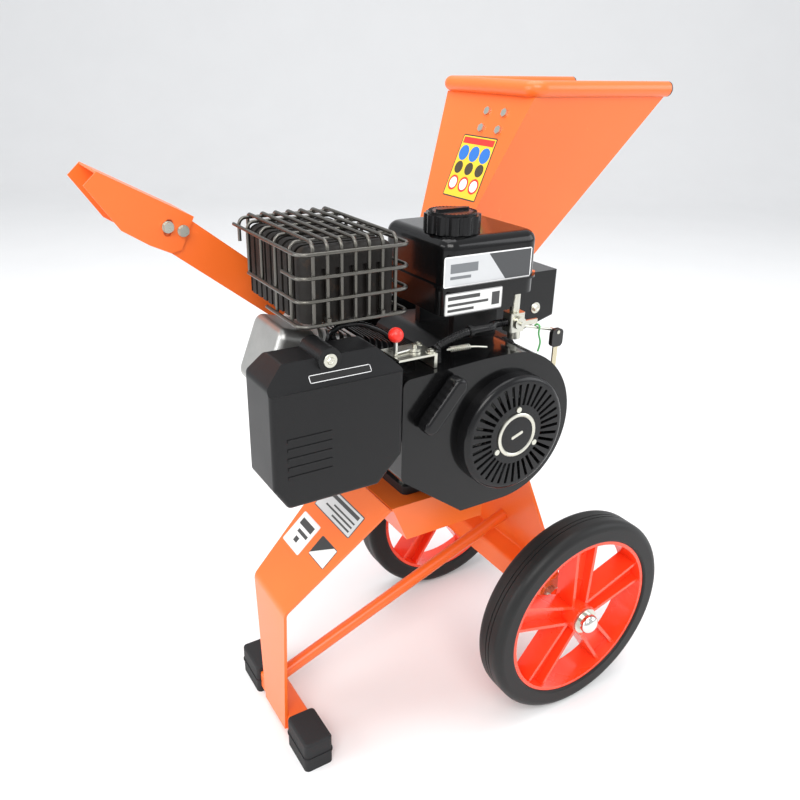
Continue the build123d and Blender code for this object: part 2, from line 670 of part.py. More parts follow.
with BuildPart() as cylinder:
    with BuildSketch(bore_plane(fin_start)):
        RectangleRounded(84, 84, 14)
    extrude(amount=fin_count * fin_pitch - seat_gap)
    for n in range(fin_count):
        with BuildSketch(bore_plane(fin_start + n * fin_pitch)):
            RectangleRounded(112, 108, 12)
        extrude(amount=2.6)
    with BuildSketch(bore_plane(fin_start - 1)):
        Circle(bore_radius)
    extrude(amount=fin_count * fin_pitch + 2, mode=Mode.SUBTRACT)
save(cylinder, "cylinder")

with BuildPart() as cylinder_head:
    with BuildSketch(bore_plane(head_start)):
        RectangleRounded(108, 104, 10)
    extrude(amount=head_length)
    for n in range(3):
        with BuildSketch(bore_plane(head_start + 9 + n * 11)):
            Rectangle(200, 200)
            RectangleRounded(88, 86, 8, mode=Mode.SUBTRACT)
        extrude(amount=6, mode=Mode.SUBTRACT)
save(cylinder_head, "cylinder_head")

with BuildPart() as valve_cover:
    with BuildSketch(bore_plane(valve_start)):
        RectangleRounded(100, 98, 16)
    extrude(amount=5)
    with BuildSketch(bore_plane(valve_start + 5)):
        RectangleRounded(88, 86, 16)
    extrude(amount=valve_length - 5, taper=6)
    fillet(valve_cover.faces().sort_by(Axis.X)[0].edges(), 9)
save(valve_cover, "valve_cover")

# ---- crankshaft, flywheel and pull starter ----
shroud_near_y = -160.0
shroud_far_y = block_near_y - seat_gap
shroud_wall = 2.5
recoil_y = -179.0
recoil_radius = 74.0
fly_y = shroud_far_y - 14
with BuildPart() as crankshaft:
    add(rod((0, shroud_near_y + 10, crank_z), (0, knife_y, crank_z), shaft_radius))
    for y in (-48, 8):
        add(rod((0, y, crank_z), (0, y + 12, crank_z), 42))
save(crankshaft, "crankshaft")

with BuildPart() as flywheel:
    add(rod((0, fly_y - 14, crank_z), (0, fly_y, crank_z), 82))
    with BuildSketch(Plane(origin=(0, fly_y - 14, crank_z), x_dir=(1, 0, 0), z_dir=(0, -1, 0))):
        with PolarLocations(66, 18):
            Rectangle(28, 3, rotation=28)
    extrude(amount=20)
    # cup that the starter's pawls drive
    with BuildSketch(Plane(origin=(0, fly_y - 14, crank_z), x_dir=(1, 0, 0), z_dir=(0, -1, 0))):
        Circle(36)
        Circle(33, mode=Mode.SUBTRACT)
    extrude(amount=18)
    add(rod((0, -200, crank_z), (0, 0, crank_z), shaft_radius + seat_gap), mode=Mode.SUBTRACT)
save(flywheel, "flywheel")

grip_x = -105.0
grip_z = crank_z + 59
reel_core = 26.0
rope_radius = 2.2


def shroud_outline(y0, y1, inset):
    with BuildPart() as shape:
        with BuildSketch(side_plane(y0)) as outline:
            with BuildLine():
                Polyline((-150 + inset, 548 - inset), (-150 + inset, 424 + inset), (-62, 358 + inset),
                         (0, 358 + inset), (0, 554 - inset), (-40, 554 - inset), close=True)
            make_face()
            fillet(outline.vertices().group_by(Axis.X)[0], 10 - inset)
            with Locations((0, crank_z)):
                Circle(98 - inset)
        extrude(amount=-(y1 - y0))
    return shape.part


with BuildPart() as fan_shroud:
    add(shroud_outline(shroud_near_y, shroud_far_y, 0))
    add(shroud_outline(shroud_near_y + shroud_wall, shroud_far_y + 1, shroud_wall), mode=Mode.SUBTRACT)
    add(rod((0, shroud_near_y - 1, crank_z), (0, shroud_near_y + 5, crank_z), recoil_radius - 8), mode=Mode.SUBTRACT)
    # rope guide
    add(rod((grip_x, shroud_near_y, grip_z), (grip_x, shroud_near_y + 6, grip_z), 9))
    add(rod((grip_x, -200, grip_z), (grip_x, -100, grip_z), rope_radius + slip), mode=Mode.SUBTRACT)
save(fan_shroud, "fan_shroud")

recoil_screw_angles = (90, 210, 330)
with BuildPart() as recoil_cover:
    with BuildSketch(Plane(origin=(0, shroud_near_y - seat_gap, crank_z), x_dir=(1, 0, 0), z_dir=(0, -1, 0))):
        Circle(recoil_radius)
    extrude(amount=shroud_near_y - seat_gap - recoil_y)
    front = recoil_cover.edges().filter_by(GeomType.CIRCLE).sort_by(Axis.Y)[0]
    fillet(front, 7)
    with BuildSketch(Plane(origin=(0, shroud_near_y + 1, crank_z), x_dir=(1, 0, 0), z_dir=(0, -1, 0))):
        Circle(recoil_radius - 4)
    extrude(amount=-recoil_y + shroud_near_y - 3 + 1, mode=Mode.SUBTRACT)
    # air slots
    with BuildSketch(Plane(origin=(0, recoil_y + 8, crank_z), x_dir=(1, 0, 0), z_dir=(0, -1, 0))):
        with PolarLocations(51.5, 36):
            Rectangle(27, 4)
    extrude(amount=30, mode=Mode.SUBTRACT)
    # pin that the reel turns on
    add(rod((0, recoil_y + 1, crank_z), (0, shroud_near_y - 1, crank_z), 8))
    for angle in recoil_screw_angles:
        x, z = 33 * math.cos(math.radians(angle)), crank_z + 33 * math.sin(math.radians(angle))
        add(rod((x, recoil_y - 1, z), (x, recoil_y + 10, z), 2 + seat_gap), mode=Mode.SUBTRACT)
save(recoil_cover, "recoil_cover")

with BuildPart() as recoil_screws:
    for angle in recoil_screw_angles:
        x, z = 33 * math.cos(math.radians(angle)), crank_z + 33 * math.sin(math.radians(angle))
        add(rod((x, recoil_y - 1.6, z), (x, recoil_y, z), 3.6))
        add(rod((x, recoil_y, z), (x, recoil_y + 3, z), 2))
save(recoil_screws, "recoil_screws")

with BuildPart() as recoil_reel:
    reel_y = recoil_y + 5
    for y, depth, radius in ((0, 1.5, 42), (1.4, 6, reel_core - 3), (7.3, 1.5, 42)):
        add(rod((0, reel_y + y, crank_z), (0, reel_y + y + depth, crank_z), radius))
    add(rod((0, -200, crank_z), (0, -100, crank_z), 8 + run_fit), mode=Mode.SUBTRACT)
save(recoil_reel, "recoil_reel")

pull_travel = 48.0
grip_y = shroud_near_y - 12
with BuildPart() as starter_grip:
    # the bar of the grip lies across the rope, on a slant
    grip_plane = Plane(origin=(grip_x, grip_y, grip_z), x_dir=(-0.643, 0, -0.766), z_dir=(0, -1, 0))
    with BuildSketch(grip_plane.offset(-10)):
        SlotOverall(74, 20)
    extrude(amount=20)
    fillet(starter_grip.faces().filter_by(Axis.Y).edges(), 5)
    for n in range(-3, 4):
        with BuildSketch(grip_plane.offset(-12)):
            with Locations((n * 8, 10.5), (n * 8, -10.5)):
                Rectangle(3, 3)
        extrude(amount=24, mode=Mode.SUBTRACT)
    add(rod((grip_x, grip_y + 8, grip_z), (grip_x, grip_y + pull_travel + 18, grip_z), rope_radius))
save(starter_grip, "starter_grip")

# ---- exhaust ----
bore_up = Vector(lean_dir.Z, 0, -lean_dir.X)
muffler_x = (-244.0, -134.0)
muffler_y = (-117.0, 43.0)
muffler_z = (612.0, 690.0)
elbow_seat = Vector(0, 2, crank_z) + lean_dir * (head_start + head_length / 2) + bore_up * (52 + seat_gap)
with BuildPart() as exhaust_elbow:
    add(rod(elbow_seat, elbow_seat + bore_up * 5, 22))
    add(rod(elbow_seat, elbow_seat + bore_up * 60, 14))
    add(block((-260, -100), (-40, 40), (muffler_z[0] - seat_gap, 700)), mode=Mode.SUBTRACT)
save(exhaust_elbow, "exhaust_elbow")

groove = 4.0
with BuildPart() as muffler:
    add(block(muffler_x, muffler_y, muffler_z, 16))
    fillet(muffler.faces().sort_by(Axis.Z)[-1].edges(), 12)
    # pressed grooves over the top and down the sides
    for n in range(9):
        y = muffler_y[0] + 22 + n * 15
        with BuildSketch(side_plane(y)):
            with Locations((sum(muffler_x) / 2, sum(muffler_z) / 2)):
                Rectangle(200, 200)
                RectangleRounded(muffler_x[1] - muffler_x[0] - 2 * groove, muffler_z[1] - muffler_z[0] - 2 * groove,
                                 12, mode=Mode.SUBTRACT)
        extrude(amount=-5, mode=Mode.SUBTRACT)
    for n in range(5):
        x = muffler_x[0] + 19 + n * 16
        add(block((x, x + 5), (muffler_y[0] - 1, muffler_y[0] + groove), (muffler_z[0] - 1, muffler_z[1] - 20)),
            mode=Mode.SUBTRACT)
save(muffler, "muffler")

# ---- wire cage round the muffler ----
wire = 2.0
cage_x = (-254.0, -124.0)
cage_y = (-127.0, 51.0)
cage_top = 699.0
cage_levels = ((614.0, -40.0, -70.0), (640.0, 10.0, -80.0), (664.0, -85.0, -60.0), (688.0, 49.0, -10.0))
cross = 3.0                 # crossing wires are welded, so they bite into each other


def wire_run(points, radius):
    with BuildPart() as shape:
        with BuildLine():
            FilletPolyline(*points, radius=radius)
        with BuildSketch(Plane(origin=points[0], z_dir=Vector(*points[1]) - Vector(*points[0]))):
            Circle(wire)
        sweep()
    return shape.part


with BuildPart() as muffler_cage:
    for z, left_end, right_end in cage_levels:
        add(wire_run([(cage_x[0], left_end, z), (cage_x[0], cage_y[0], z),
                      (cage_x[1], cage_y[0], z), (cage_x[1], right_end, z)], 12))
    for n in range(7):
        x = cage_x[0] + 17 + n * 16
        add(wire_run([(x, cage_y[0] + cross, cage_levels[0][0] - 2), (x, cage_y[0] + cross, cage_top),
                      (x, cage_y[1] - cross, cage_top), (x, cage_y[1] - cross, 660)], 8))
    for y in (-100, -62, -24, 14, 40):
        low = 614 if y < -50 else 640
        right_low = 640 if y < -50 else 660
        add(wire_run([(cage_x[0] + cross, y, low if y < 20 else 670), (cage_x[0] + cross, y, cage_top - cross),
                      (cage_x[1] - cross, y, cage_top - cross), (cage_x[1] - cross, y, right_low)], 8))
    # tabs that hold the cage on the muffler
    for x in (cage_x[0] + 33, cage_x[0] + 97):
        add(rod((x, cage_y[0] + 1, cage_levels[0][0] + 4), (x, muffler_y[0] - seat_gap, cage_levels[0][0] + 4), 2.5))
        add(rod((x, cage_y[0] + 1, cage_levels[0][0] - 1), (x, cage_y[0] + 1, cage_levels[0][0] + 6), 2.5))
save(muffler_cage, "muffler_cage")

# ---- fuel tank ----
tank_x = (-77.0, 59.0)
tank_y = (-125.0, 13.0)
tank_top = 686.0
neck_x = -42.0
neck_y = -84.0
neck_radius = 20.0
cap_radius_fuel = 33.0
tap_x = 38.0
tap_y = -112.0
notch_z = tank_bottom + 14
with BuildPart() as fuel_tank:
    add(block(tank_x, tank_y, (tank_bottom, tank_top), 18))
    add(block((tap_x - 14, tank_x[1] + 1), (tank_y[0] - 1, tank_y[0] + 30), (tank_bottom - 1, notch_z)),
        mode=Mode.SUBTRACT)
    fillet(fuel_tank.faces().sort_by(Axis.Z)[-1].edges(), 13)
    add(block((tank_x[0] + 3, tank_x[1] - 3), (tank_y[0] + 3, tank_y[1] - 3),
              (tank_bottom + 18, tank_top - 16), 15), mode=Mode.SUBTRACT)
    # crimped seam
    seam_z = tank_bottom + 32
    with BuildSketch(Plane((sum(tank_x) / 2, sum(tank_y) / 2, seam_z))):
        RectangleRounded(tank_x[1] - tank_x[0] + 6, tank_y[1] - tank_y[0] + 6, 20)
        RectangleRounded(tank_x[1] - tank_x[0] - 6, tank_y[1] - tank_y[0] - 6, 14, mode=Mode.SUBTRACT)
    extrude(amount=2.6)
    add(rod((neck_x, neck_y, tank_top - 2), (neck_x, neck_y, tank_top + 8), neck_radius))
    add(rod((neck_x, neck_y, tank_top - 30), (neck_x, neck_y, tank_top + 20), neck_radius - 3), mode=Mode.SUBTRACT)
save(fuel_tank, "fuel_tank")

with BuildPart() as fuel_cap:
    base = tank_top + slip
    with BuildSketch(Plane((neck_x, neck_y, base))):
        Circle(cap_radius_fuel - 3)
        with PolarLocations(cap_radius_fuel - 7, 12):
            Circle(7)
    extrude(amount=20)
    add(rod((neck_x, neck_y, base + 20), (neck_x, neck_y, base + 23), cap_radius_fuel - 5))
    add(block((neck_x - 22, neck_x + 22), (neck_y - 4, neck_y + 4), (base + 22, base + 26), 3.5))
    add(rod((neck_x, neck_y, base - 1), (neck_x, neck_y, base + 15), neck_radius + run_fit), mode=Mode.SUBTRACT)
save(fuel_cap, "fuel_cap")

pin = 2.4
key_pin = (104.0, 552.0)
with BuildPart() as fuel_tap:
    add(rod((tap_x, tap_y, 584), (tap_x, tap_y, notch_z - seat_gap), 6))
    add(block((tap_x - 11, tap_x + 11), (tap_y - 9, tap_y + 9), (562, 586), 3))
    add(rod((tap_x + 2, tap_y, 552), (tap_x + 2, tap_y, 563), 8))
    # lever pin, and the arm that the keys hang on
    add(rod((tap_x, tap_y - 18, 574), (tap_x, tap_y, 574), pin))
    add(rod((tap_x + 5, tap_y, 568), (key_pin[0], tap_y, key_pin[1]), pin - 0.6))
    add(rod((key_pin[0], tap_y - 12, key_pin[1]), (key_pin[0], tap_y + 3, key_pin[1]), pin))
save(fuel_tap, "fuel_tap")

with BuildPart() as fuel_tap_lever:
    y = tap_y - 9 - slip
    add(rod((tap_x, y - 5, 574), (tap_x, y, 574), 8))
    add(block((tap_x, tap_x + 26), (y - 5, y - 2), (571, 577)))
    add(rod((tap_x, y - 20, 574), (tap_x, y + 5, 574), pin + run_fit), mode=Mode.SUBTRACT)
save(fuel_tap_lever, "fuel_tap_lever")

with BuildPart() as keys:
    for n, y in enumerate((tap_y - 5, tap_y - 9)):
        x, z = key_pin
        with BuildSketch(side_plane(y - 2.2)):
            with Locations((x, z - 8)):
                RectangleRounded(18, 24, 6)
            with Locations((x + 2 - 4 * n, z - 32)):
                Rectangle(7, 28)
            with Locations((x, z)):
                Circle(pin + run_fit, mode=Mode.SUBTRACT)
        extrude(amount=-2.2)
    add(rod((x, tap_y - 11, z - 13), (x, tap_y - 5, z - 13), 2.5))
save(keys, "keys")

# ---- air box, carburettor and controls ----
box_x = (-309.0, -157.0)
box_z = (437.0, 590.0)
box_near_y = -173.0
box_far_y = -104.0
box_split_y = box_far_y - 8
head_near_y = bore_y - 54
carb_x = (-226.0, -188.0)
carb_z = (490.0, 540.0)
choke_pivot = (-198.0, -90.0)


def box_outline(y0, y1, inset):
    points = [(box_x[0] + inset, 462), (box_x[0] + 16, box_z[0] + inset), (box_x[1] - 30, box_z[0] + inset),
              (box_x[1] - inset, 468), (box_x[1] - inset, 568), (box_x[1] - 22, box_z[1] - inset),
              (box_x[0] + 22, box_z[1] - inset), (box_x[0] + inset, 572)]
    return prism(points, y0, y1, 7)


with BuildPart() as carburettor:
    add(block(carb_x, (box_far_y + seat_gap, head_near_y - seat_gap), carb_z, 4))
    add(rod((-204, -90, 474), (-204, -90, 492), 12))
    add(rod((*choke_pivot, 538), (*choke_pivot, 548), 2.5))
save(carburettor, "carburettor")

with BuildPart() as air_box_base:
    add(box_outline(box_split_y, box_far_y, 3))
    add(rod((-200, -120, 515), (-200, -100, 515), 14), mode=Mode.SUBTRACT)
save(air_box_base, "air_box_base")

with BuildPart() as air_box_cover:
    add(box_outline(box_near_y, box_split_y - seat_gap, 0))
    fillet(air_box_cover.faces().sort_by(Axis.Y)[0].edges(), 5)
    # slanted ledge above the face
    with BuildSketch(Plane.YZ.offset(box_x[0] - 10)):
        with BuildLine():
            Polyline((box_near_y - 5, 566), (box_near_y + 3, 566), (box_near_y + 26, box_z[1] + 5),
                     (box_near_y - 5, box_z[1] + 5), close=True)
        make_face()
    extrude(amount=200, mode=Mode.SUBTRACT)
    add(rod((-237, box_near_y + 14, 588), (-237, box_split_y - 1, 588), 13))
    add(box_outline(box_near_y + 30, box_split_y, 3), mode=Mode.SUBTRACT)
save(air_box_cover, "air_box_cover")

with BuildPart() as choke_lever:
    add(rod((*choke_pivot, 540 + slip), (*choke_pivot, 544), 6))
    add(block((choke_pivot[0], choke_pivot[0] + 40), (choke_pivot[1] - 3, choke_pivot[1] + 3), (540 + slip, 543)))
    add(rod((*choke_pivot, 530), (*choke_pivot, 560), 2.5 + run_fit), mode=Mode.SUBTRACT)
save(choke_lever, "choke_lever")

bracket_z = 566.0
lever_pivot = (-118.0, -130.0)
knob_place = (-145.0, -134.0)
with BuildPart() as control_bracket:
    add(block((-150, -100), (-150, -110), (bracket_z, bracket_z + 2.5)))
    add(prism([(-104, 551.2), (-100, 551.3), (-100, bracket_z + 1), (-104, bracket_z + 1)], -150, -110))
    add(rod((*lever_pivot, bracket_z), (*lever_pivot, bracket_z + 10), 3))
save(control_bracket, "control_bracket")

with BuildPart() as throttle_lever:
    low = bracket_z + 2.5 + slip
    add(rod((*lever_pivot, low), (*lever_pivot, low + 3), 8))
    add(rod((*lever_pivot, low + 1.5), (*knob_place, low + 1.5), 1.4))
    add(rod((*knob_place, low), (*knob_place, 588), 2.5))
    with BuildSketch(Plane((*lever_pivot, 0))):
        Circle(3 + run_fit)
    extrude(amount=600, mode=Mode.SUBTRACT)
    with Locations((*knob_place, 592)):
        Sphere(8.5)
save(throttle_lever, "throttle_lever")

# ---- leads and hose ----


def corner_radii(points):
    """The largest arcs that the runs allow at each corner."""
    radii = []
    for a, b, c in zip(points, points[1:], points[2:]):
        before, after = Vector(*b) - Vector(*a), Vector(*c) - Vector(*b)
        turn = math.radians(before.get_angle(after))
        radii.append(0.45 * min(before.length, after.length) / math.tan(turn / 2))
    return radii


def cord(points, radius):
    radii = corner_radii(points)
    print("cord radii", [round(r, 1) for r in radii])
    with BuildPart() as shape:
        with BuildLine() as route:
            FilletPolyline(*points, radius=radii)
        with BuildSketch(Plane(origin=points[0], z_dir=Vector(*points[1]) - Vector(*points[0]))):
            Circle(radius)
        sweep()
    length = sum(edge.length for edge in route.edges())
    print("length", round(length), "volume share", round(shape.part.volume / (math.pi * radius ** 2 * length), 4))
    return shape.part


plug_seat = Vector(-190, head_near_y - seat_gap, 566)
plug_way = Vector(-0.5, -0.55, 0.67).normalized()
with BuildPart() as spark_plug:
    add(rod(plug_seat - plug_way * 8, plug_seat + plug_way * 20, 7))
    add(block((-220, -160), (head_near_y - seat_gap, -50), (540, 600)), mode=Mode.SUBTRACT)
save(spark_plug, "spark_plug")

lead_start = plug_seat + plug_way * (20 + seat_gap)
spark_lead_route = [tuple(lead_start), tuple(lead_start + plug_way * 16), (-196, -103, 602), (-172, -101, 600),
                    (-142, -100, 586), (-124, -100, 568), (-121, -100, 550.2)]
with BuildPart() as spark_lead:
    add(cord(spark_lead_route, 3.2))
save(spark_lead, "spark_lead")

fuel_hose_route = [(-92, -138, 551.8), (-92, -138, 571), (-58, -142, 584), (-16, -134, 581),
                   (8, tap_y, 574), (tap_x - 11 - seat_gap, tap_y, 574)]
with BuildPart() as fuel_hose:
    add(cord(fuel_hose_route, 5.0))
save(fuel_hose, "fuel_hose")
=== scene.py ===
import math

import bmesh
import bpy
from mathutils import Matrix, Vector


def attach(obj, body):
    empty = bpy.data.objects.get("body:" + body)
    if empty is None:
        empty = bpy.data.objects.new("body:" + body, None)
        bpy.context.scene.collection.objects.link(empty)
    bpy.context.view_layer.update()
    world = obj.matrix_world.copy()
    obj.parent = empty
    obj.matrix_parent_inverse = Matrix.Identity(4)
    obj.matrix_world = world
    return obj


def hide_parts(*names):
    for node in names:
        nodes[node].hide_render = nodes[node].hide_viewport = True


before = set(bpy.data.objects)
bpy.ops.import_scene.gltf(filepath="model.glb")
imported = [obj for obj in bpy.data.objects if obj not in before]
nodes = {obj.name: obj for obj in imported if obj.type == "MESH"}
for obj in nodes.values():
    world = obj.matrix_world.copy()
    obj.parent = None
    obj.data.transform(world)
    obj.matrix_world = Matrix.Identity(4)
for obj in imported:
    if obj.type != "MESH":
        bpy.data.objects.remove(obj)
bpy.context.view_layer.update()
print("frame loaded", len(nodes), "nodes")


# shader maths
class Sock:
    # wraps a socket, so that a pattern reads as arithmetic
    def __init__(self, tree, out):
        self.tree, self.out = tree, out

    def _math(self, operation, a, b=None):
        node = self.tree.nodes.new("ShaderNodeMath")
        node.operation = operation
        for slotIndex, value in enumerate((a, b)):
            if isinstance(value, Sock):
                self.tree.links.new(value.out, node.inputs[slotIndex])
            elif value is not None:
                node.inputs[slotIndex].default_value = value
        return Sock(self.tree, node.outputs[0])

    def __add__(self, other):
        return self._math("ADD", self, other)

    def __radd__(self, other):
        return self._math("ADD", other, self)

    def __sub__(self, other):
        return self._math("SUBTRACT", self, other)

    def __rsub__(self, other):
        return self._math("SUBTRACT", other, self)

    def __mul__(self, other):
        return self._math("MULTIPLY", self, other)

    def __rmul__(self, other):
        return self._math("MULTIPLY", other, self)

    def __gt__(self, other):
        return self._math("GREATER_THAN", self, other)

    def __lt__(self, other):
        return self._math("LESS_THAN", self, other)

    def size(self):
        return self._math("ABSOLUTE", self)

    def atMost(self, other):
        return self._math("MINIMUM", self, other)


class Shade:
    # one material: patterns are added with node(), and the finish is set on the shader's own sockets
    def __init__(self, name, color, roughness=0.5, metallic=0.0, coat=0.0, coatRoughness=0.1):
        self.material = bpy.data.materials.new(name)
        self.material.use_nodes = True
        self.tree = self.material.node_tree
        self.shader = self.tree.nodes["Principled BSDF"]
        # dark pieces reflect the pale studio less
        reflection = 0.5 if max(color) > 0.05 else 0.24
        constants = {"Base Color": (*color, 1), "Roughness": roughness, "Metallic": metallic,
                     "Coat Weight": coat, "Coat Roughness": coatRoughness, "Specular IOR Level": reflection}
        for socket, value in constants.items():
            self.shader.inputs[socket].default_value = value
        self.material.diffuse_color = (*color, 1)

    def node(self, kind, settings=None, output=0, **sockets):
        made = self.tree.nodes.new("ShaderNode" + kind)
        for key, value in (settings or {}).items():
            setattr(made, key, value)
        for key, value in sockets.items():
            if isinstance(value, Sock):
                self.tree.links.new(value.out, made.inputs[key])
            else:
                made.inputs[key].default_value = value
        return Sock(self.tree, made.outputs[output])

    def place(self):
        return self.node("TexCoord", output=3)

    def noise(self, scale, detail=4.0, roughness=0.55, where=None):
        where = where or self.place()
        return self.node("TexNoise", Vector=where, Scale=scale, Detail=detail, Roughness=roughness)

    def axes(self):
        split = self.tree.nodes.new("ShaderNodeSeparateXYZ")
        self.tree.links.new(self.place().out, split.inputs[0])
        return [Sock(self.tree, out) for out in split.outputs]

    def mix(self, factor, a, b):
        node = self.tree.nodes.new("ShaderNodeMix")
        node.data_type = "RGBA"
        for socket, value in ((node.inputs[0], factor), (node.inputs[6], a), (node.inputs[7], b)):
            if isinstance(value, Sock):
                self.tree.links.new(value.out, socket)
            elif isinstance(value, tuple):
                socket.default_value = (*value, 1)
            else:
                socket.default_value = value
        return Sock(self.tree, node.outputs[2])

    def feed(self, socket, value):
        self.tree.links.new(value.out, self.shader.inputs[socket])

    def bump(self, height, strength=0.2, distance=0.0005):
        node = self.tree.nodes.new("ShaderNodeBump")
        node.inputs["Strength"].default_value = strength
        node.inputs["Distance"].default_value = distance
        self.tree.links.new(height.out, node.inputs["Height"])
        self.tree.links.new(node.outputs[0], self.shader.inputs["Normal"])


def powderCoat(name, settings):
    shade = Shade(name, settings["color"], settings["roughness"], coat=settings["coat"], coatRoughness=0.22)
    broad = shade.noise(4.0, 3.0)
    fine = shade.noise(900.0, 2.0)
    tone = shade.mix(broad, settings["dark"], settings["color"])
    # dust and handling marks lighten it a little
    marks = shade.noise(38.0, 6.0, 0.7) > 0.67
    shade.feed("Base Color", shade.mix(marks * 0.12, tone, settings["pale"]))
    shade.feed("Roughness", settings["roughness"] + (broad - 0.5) * 0.16 + marks * 0.08)
    shade.bump(fine * 0.7 + shade.noise(260.0, 3.0) * 0.5, settings["peel"], 0.0003)
    return shade.material


def castMetal(name, color, roughness, grain, metallic=0.9):
    shade = Shade(name, color, roughness, metallic)
    cloud = shade.noise(22.0, 5.0, 0.6)
    speck = shade.noise(grain, 4.0, 0.6)
    dark = tuple(c * 0.55 for c in color)
    shade.feed("Base Color", shade.mix(cloud, dark, color))
    shade.feed("Roughness", roughness + (speck - 0.5) * 0.3)
    shade.bump(speck, 0.35, 0.0005)
    return shade.material


def plated(name, color, roughness, streak=0.0):
    shade = Shade(name, color, roughness, 1.0)
    cloud = shade.noise(60.0, 4.0)
    tint = (color[0] * 0.86, color[1] * 0.84, color[2] * 0.72)
    shade.feed("Base Color", shade.mix(cloud, tint, color))
    stretched = shade.node("Mapping", Vector=shade.place(), Scale=(1.0, 30.0, 30.0))
    brushed = shade.noise(40.0, 3.0, where=stretched)
    shade.feed("Roughness", roughness + (cloud - 0.5) * 0.15 + (brushed - 0.5) * streak)
    shade.bump(brushed, 0.05 + streak * 0.3, 0.0002)
    return shade.material


def moulded(name, color, roughness, grain=700.0, relief=0.3, coat=0.0, wear=0.25):
    shade = Shade(name, color, roughness, coat=coat)
    cloud = shade.noise(9.0, 4.0, 0.6)
    leather = shade.node("TexVoronoi", {"feature": "SMOOTH_F1"}, Vector=shade.place(), Scale=grain)
    pale = tuple(min(1.0, c * 1.7 + 0.006) for c in color)
    shade.feed("Base Color", shade.mix(cloud * wear, color, pale))
    shade.feed("Roughness", roughness + (cloud - 0.5) * 0.2)
    shade.bump(leather + shade.noise(grain * 0.6) * 0.6, relief, 0.00025)
    return shade.material


def sootySteel(name, color):
    shade = Shade(name, color, 0.62, 0.0)
    heat = shade.noise(14.0, 6.0, 0.65)
    rust = shade.noise(45.0, 7.0, 0.7) > 0.6
    scorched = shade.mix(heat, (0.008, 0.007, 0.006), color)
    shade.feed("Base Color", shade.mix(rust * 0.35, scorched, (0.05, 0.03, 0.018)))
    shade.feed("Roughness", 0.5 + heat * 0.25)
    shade.bump(shade.noise(380.0, 5.0), 0.3, 0.0004)
    return shade.material


coats = {
    "orange": dict(color=(0.93, 0.175, 0.022), dark=(0.80, 0.125, 0.012), pale=(1.0, 0.33, 0.10),
                   roughness=0.40, coat=0.25, peel=0.10),
    "black": dict(color=(0.005, 0.005, 0.0055), dark=(0.003, 0.003, 0.003), pale=(0.02, 0.02, 0.02),
                  roughness=0.13, coat=0.15, peel=0.06),
}
mats = {
    "orange": powderCoat("orangePowderCoat", coats["orange"]),
    "gloss": powderCoat("glossBlackPaint", coats["black"]),
    "rim": moulded("redPlastic", (0.92, 0.055, 0.012),
                   roughness=0.28, grain=300.0, relief=0.08, coat=0.3, wear=0.1),
    "tyre": moulded("tyreRubber", (0.010, 0.010, 0.010),
                    roughness=0.45, grain=420.0, relief=0.25, wear=0.5),
    "boot": moulded("bootRubber", (0.016, 0.016, 0.017),
                    roughness=0.66, grain=900.0, relief=0.4, wear=0.5),
    "texturedBlack": moulded("texturedBlackPlastic", (0.007, 0.007, 0.0075),
                             roughness=0.38, grain=1100.0, relief=0.35, wear=0.3),
    "satinBlack": moulded("satinBlackPlastic", (0.006, 0.006, 0.0065),
                          roughness=0.24, grain=800.0, relief=0.12, coat=0.05, wear=0.3),
    "alloy": castMetal("castAlloy", (0.55, 0.55, 0.53), roughness=0.42, grain=520.0),
    "blackCast": castMetal("blackCasting", (0.020, 0.020, 0.021), roughness=0.38, grain=420.0, metallic=0.1),
    "zinc": plated("zincPlate", (0.66, 0.66, 0.62), roughness=0.30, streak=0.2),
    "chrome": plated("chromePlate", (0.80, 0.80, 0.80), roughness=0.10),
    "steel": plated("groundSteel", (0.36, 0.37, 0.39), roughness=0.34, streak=0.4),
    "wire": plated("cageWire", (0.15, 0.145, 0.14), roughness=0.36, streak=0.1),
    "soot": sootySteel("mufflerBlack", (0.022, 0.019, 0.017)),
    "green": moulded("tieGreen", (0.10, 0.42, 0.12), roughness=0.45, grain=500.0, relief=0.1),
}
print("materials made", len(mats))

finishOf = {
    "orange": ["front_leg", "engine_platform", "rear_plate", "foot_bar", "brace_rod", "hopper",
               "hopper_rim_tube", "discharge_chute", "deflector"],
    "gloss": ["rotor_housing", "housing_cover", "fan_shroud", "fuel_tank"],
    "rim": ["wheel_rim_near", "wheel_rim_far"],
    "tyre": ["tyre_near", "tyre_far"],
    "boot": ["rubber_foot_near", "rubber_foot_far", "hopper_flap", "spark_plug"],
    "texturedBlack": ["air_box_base", "air_box_cover", "tube_end_caps"],
    "satinBlack": ["recoil_cover", "recoil_reel", "starter_grip", "fuel_cap", "oil_dipstick", "spark_lead"],
    "alloy": ["valve_cover", "carburettor", "cylinder_head", "flywheel"],
    "blackCast": ["crankcase", "cylinder"],
    "zinc": ["axle", "axle_washers", "cover_bolts", "hopper_bolts", "deflector_bolts", "engine_bolts",
             "recoil_screws", "control_bracket", "choke_lever", "fuel_tap", "fuel_tap_lever"],
    "chrome": ["hub_caps"],
    "steel": ["rotor_disc", "chipper_knives", "knife_bolts", "rotor_bolt", "anvil_bar", "crankshaft"],
    "soot": ["muffler", "exhaust_elbow"],
    "wire": ["muffler_cage"],
}


def paint(node, material):
    nodes[node].data.materials.clear()
    nodes[node].data.materials.append(material)


for finish, names in finishOf.items():
    for name in names:
        paint(name, mats[finish])


def finishPiece(mesh, name, material, body):
    # puts a mesh in the scene with its material, on its body
    piece = bpy.data.objects.new(name, mesh)
    bpy.context.scene.collection.objects.link(piece)
    mesh.materials.clear()
    mesh.materials.append(mats[material] if isinstance(material, str) else material)
    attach(piece, body)
    return piece


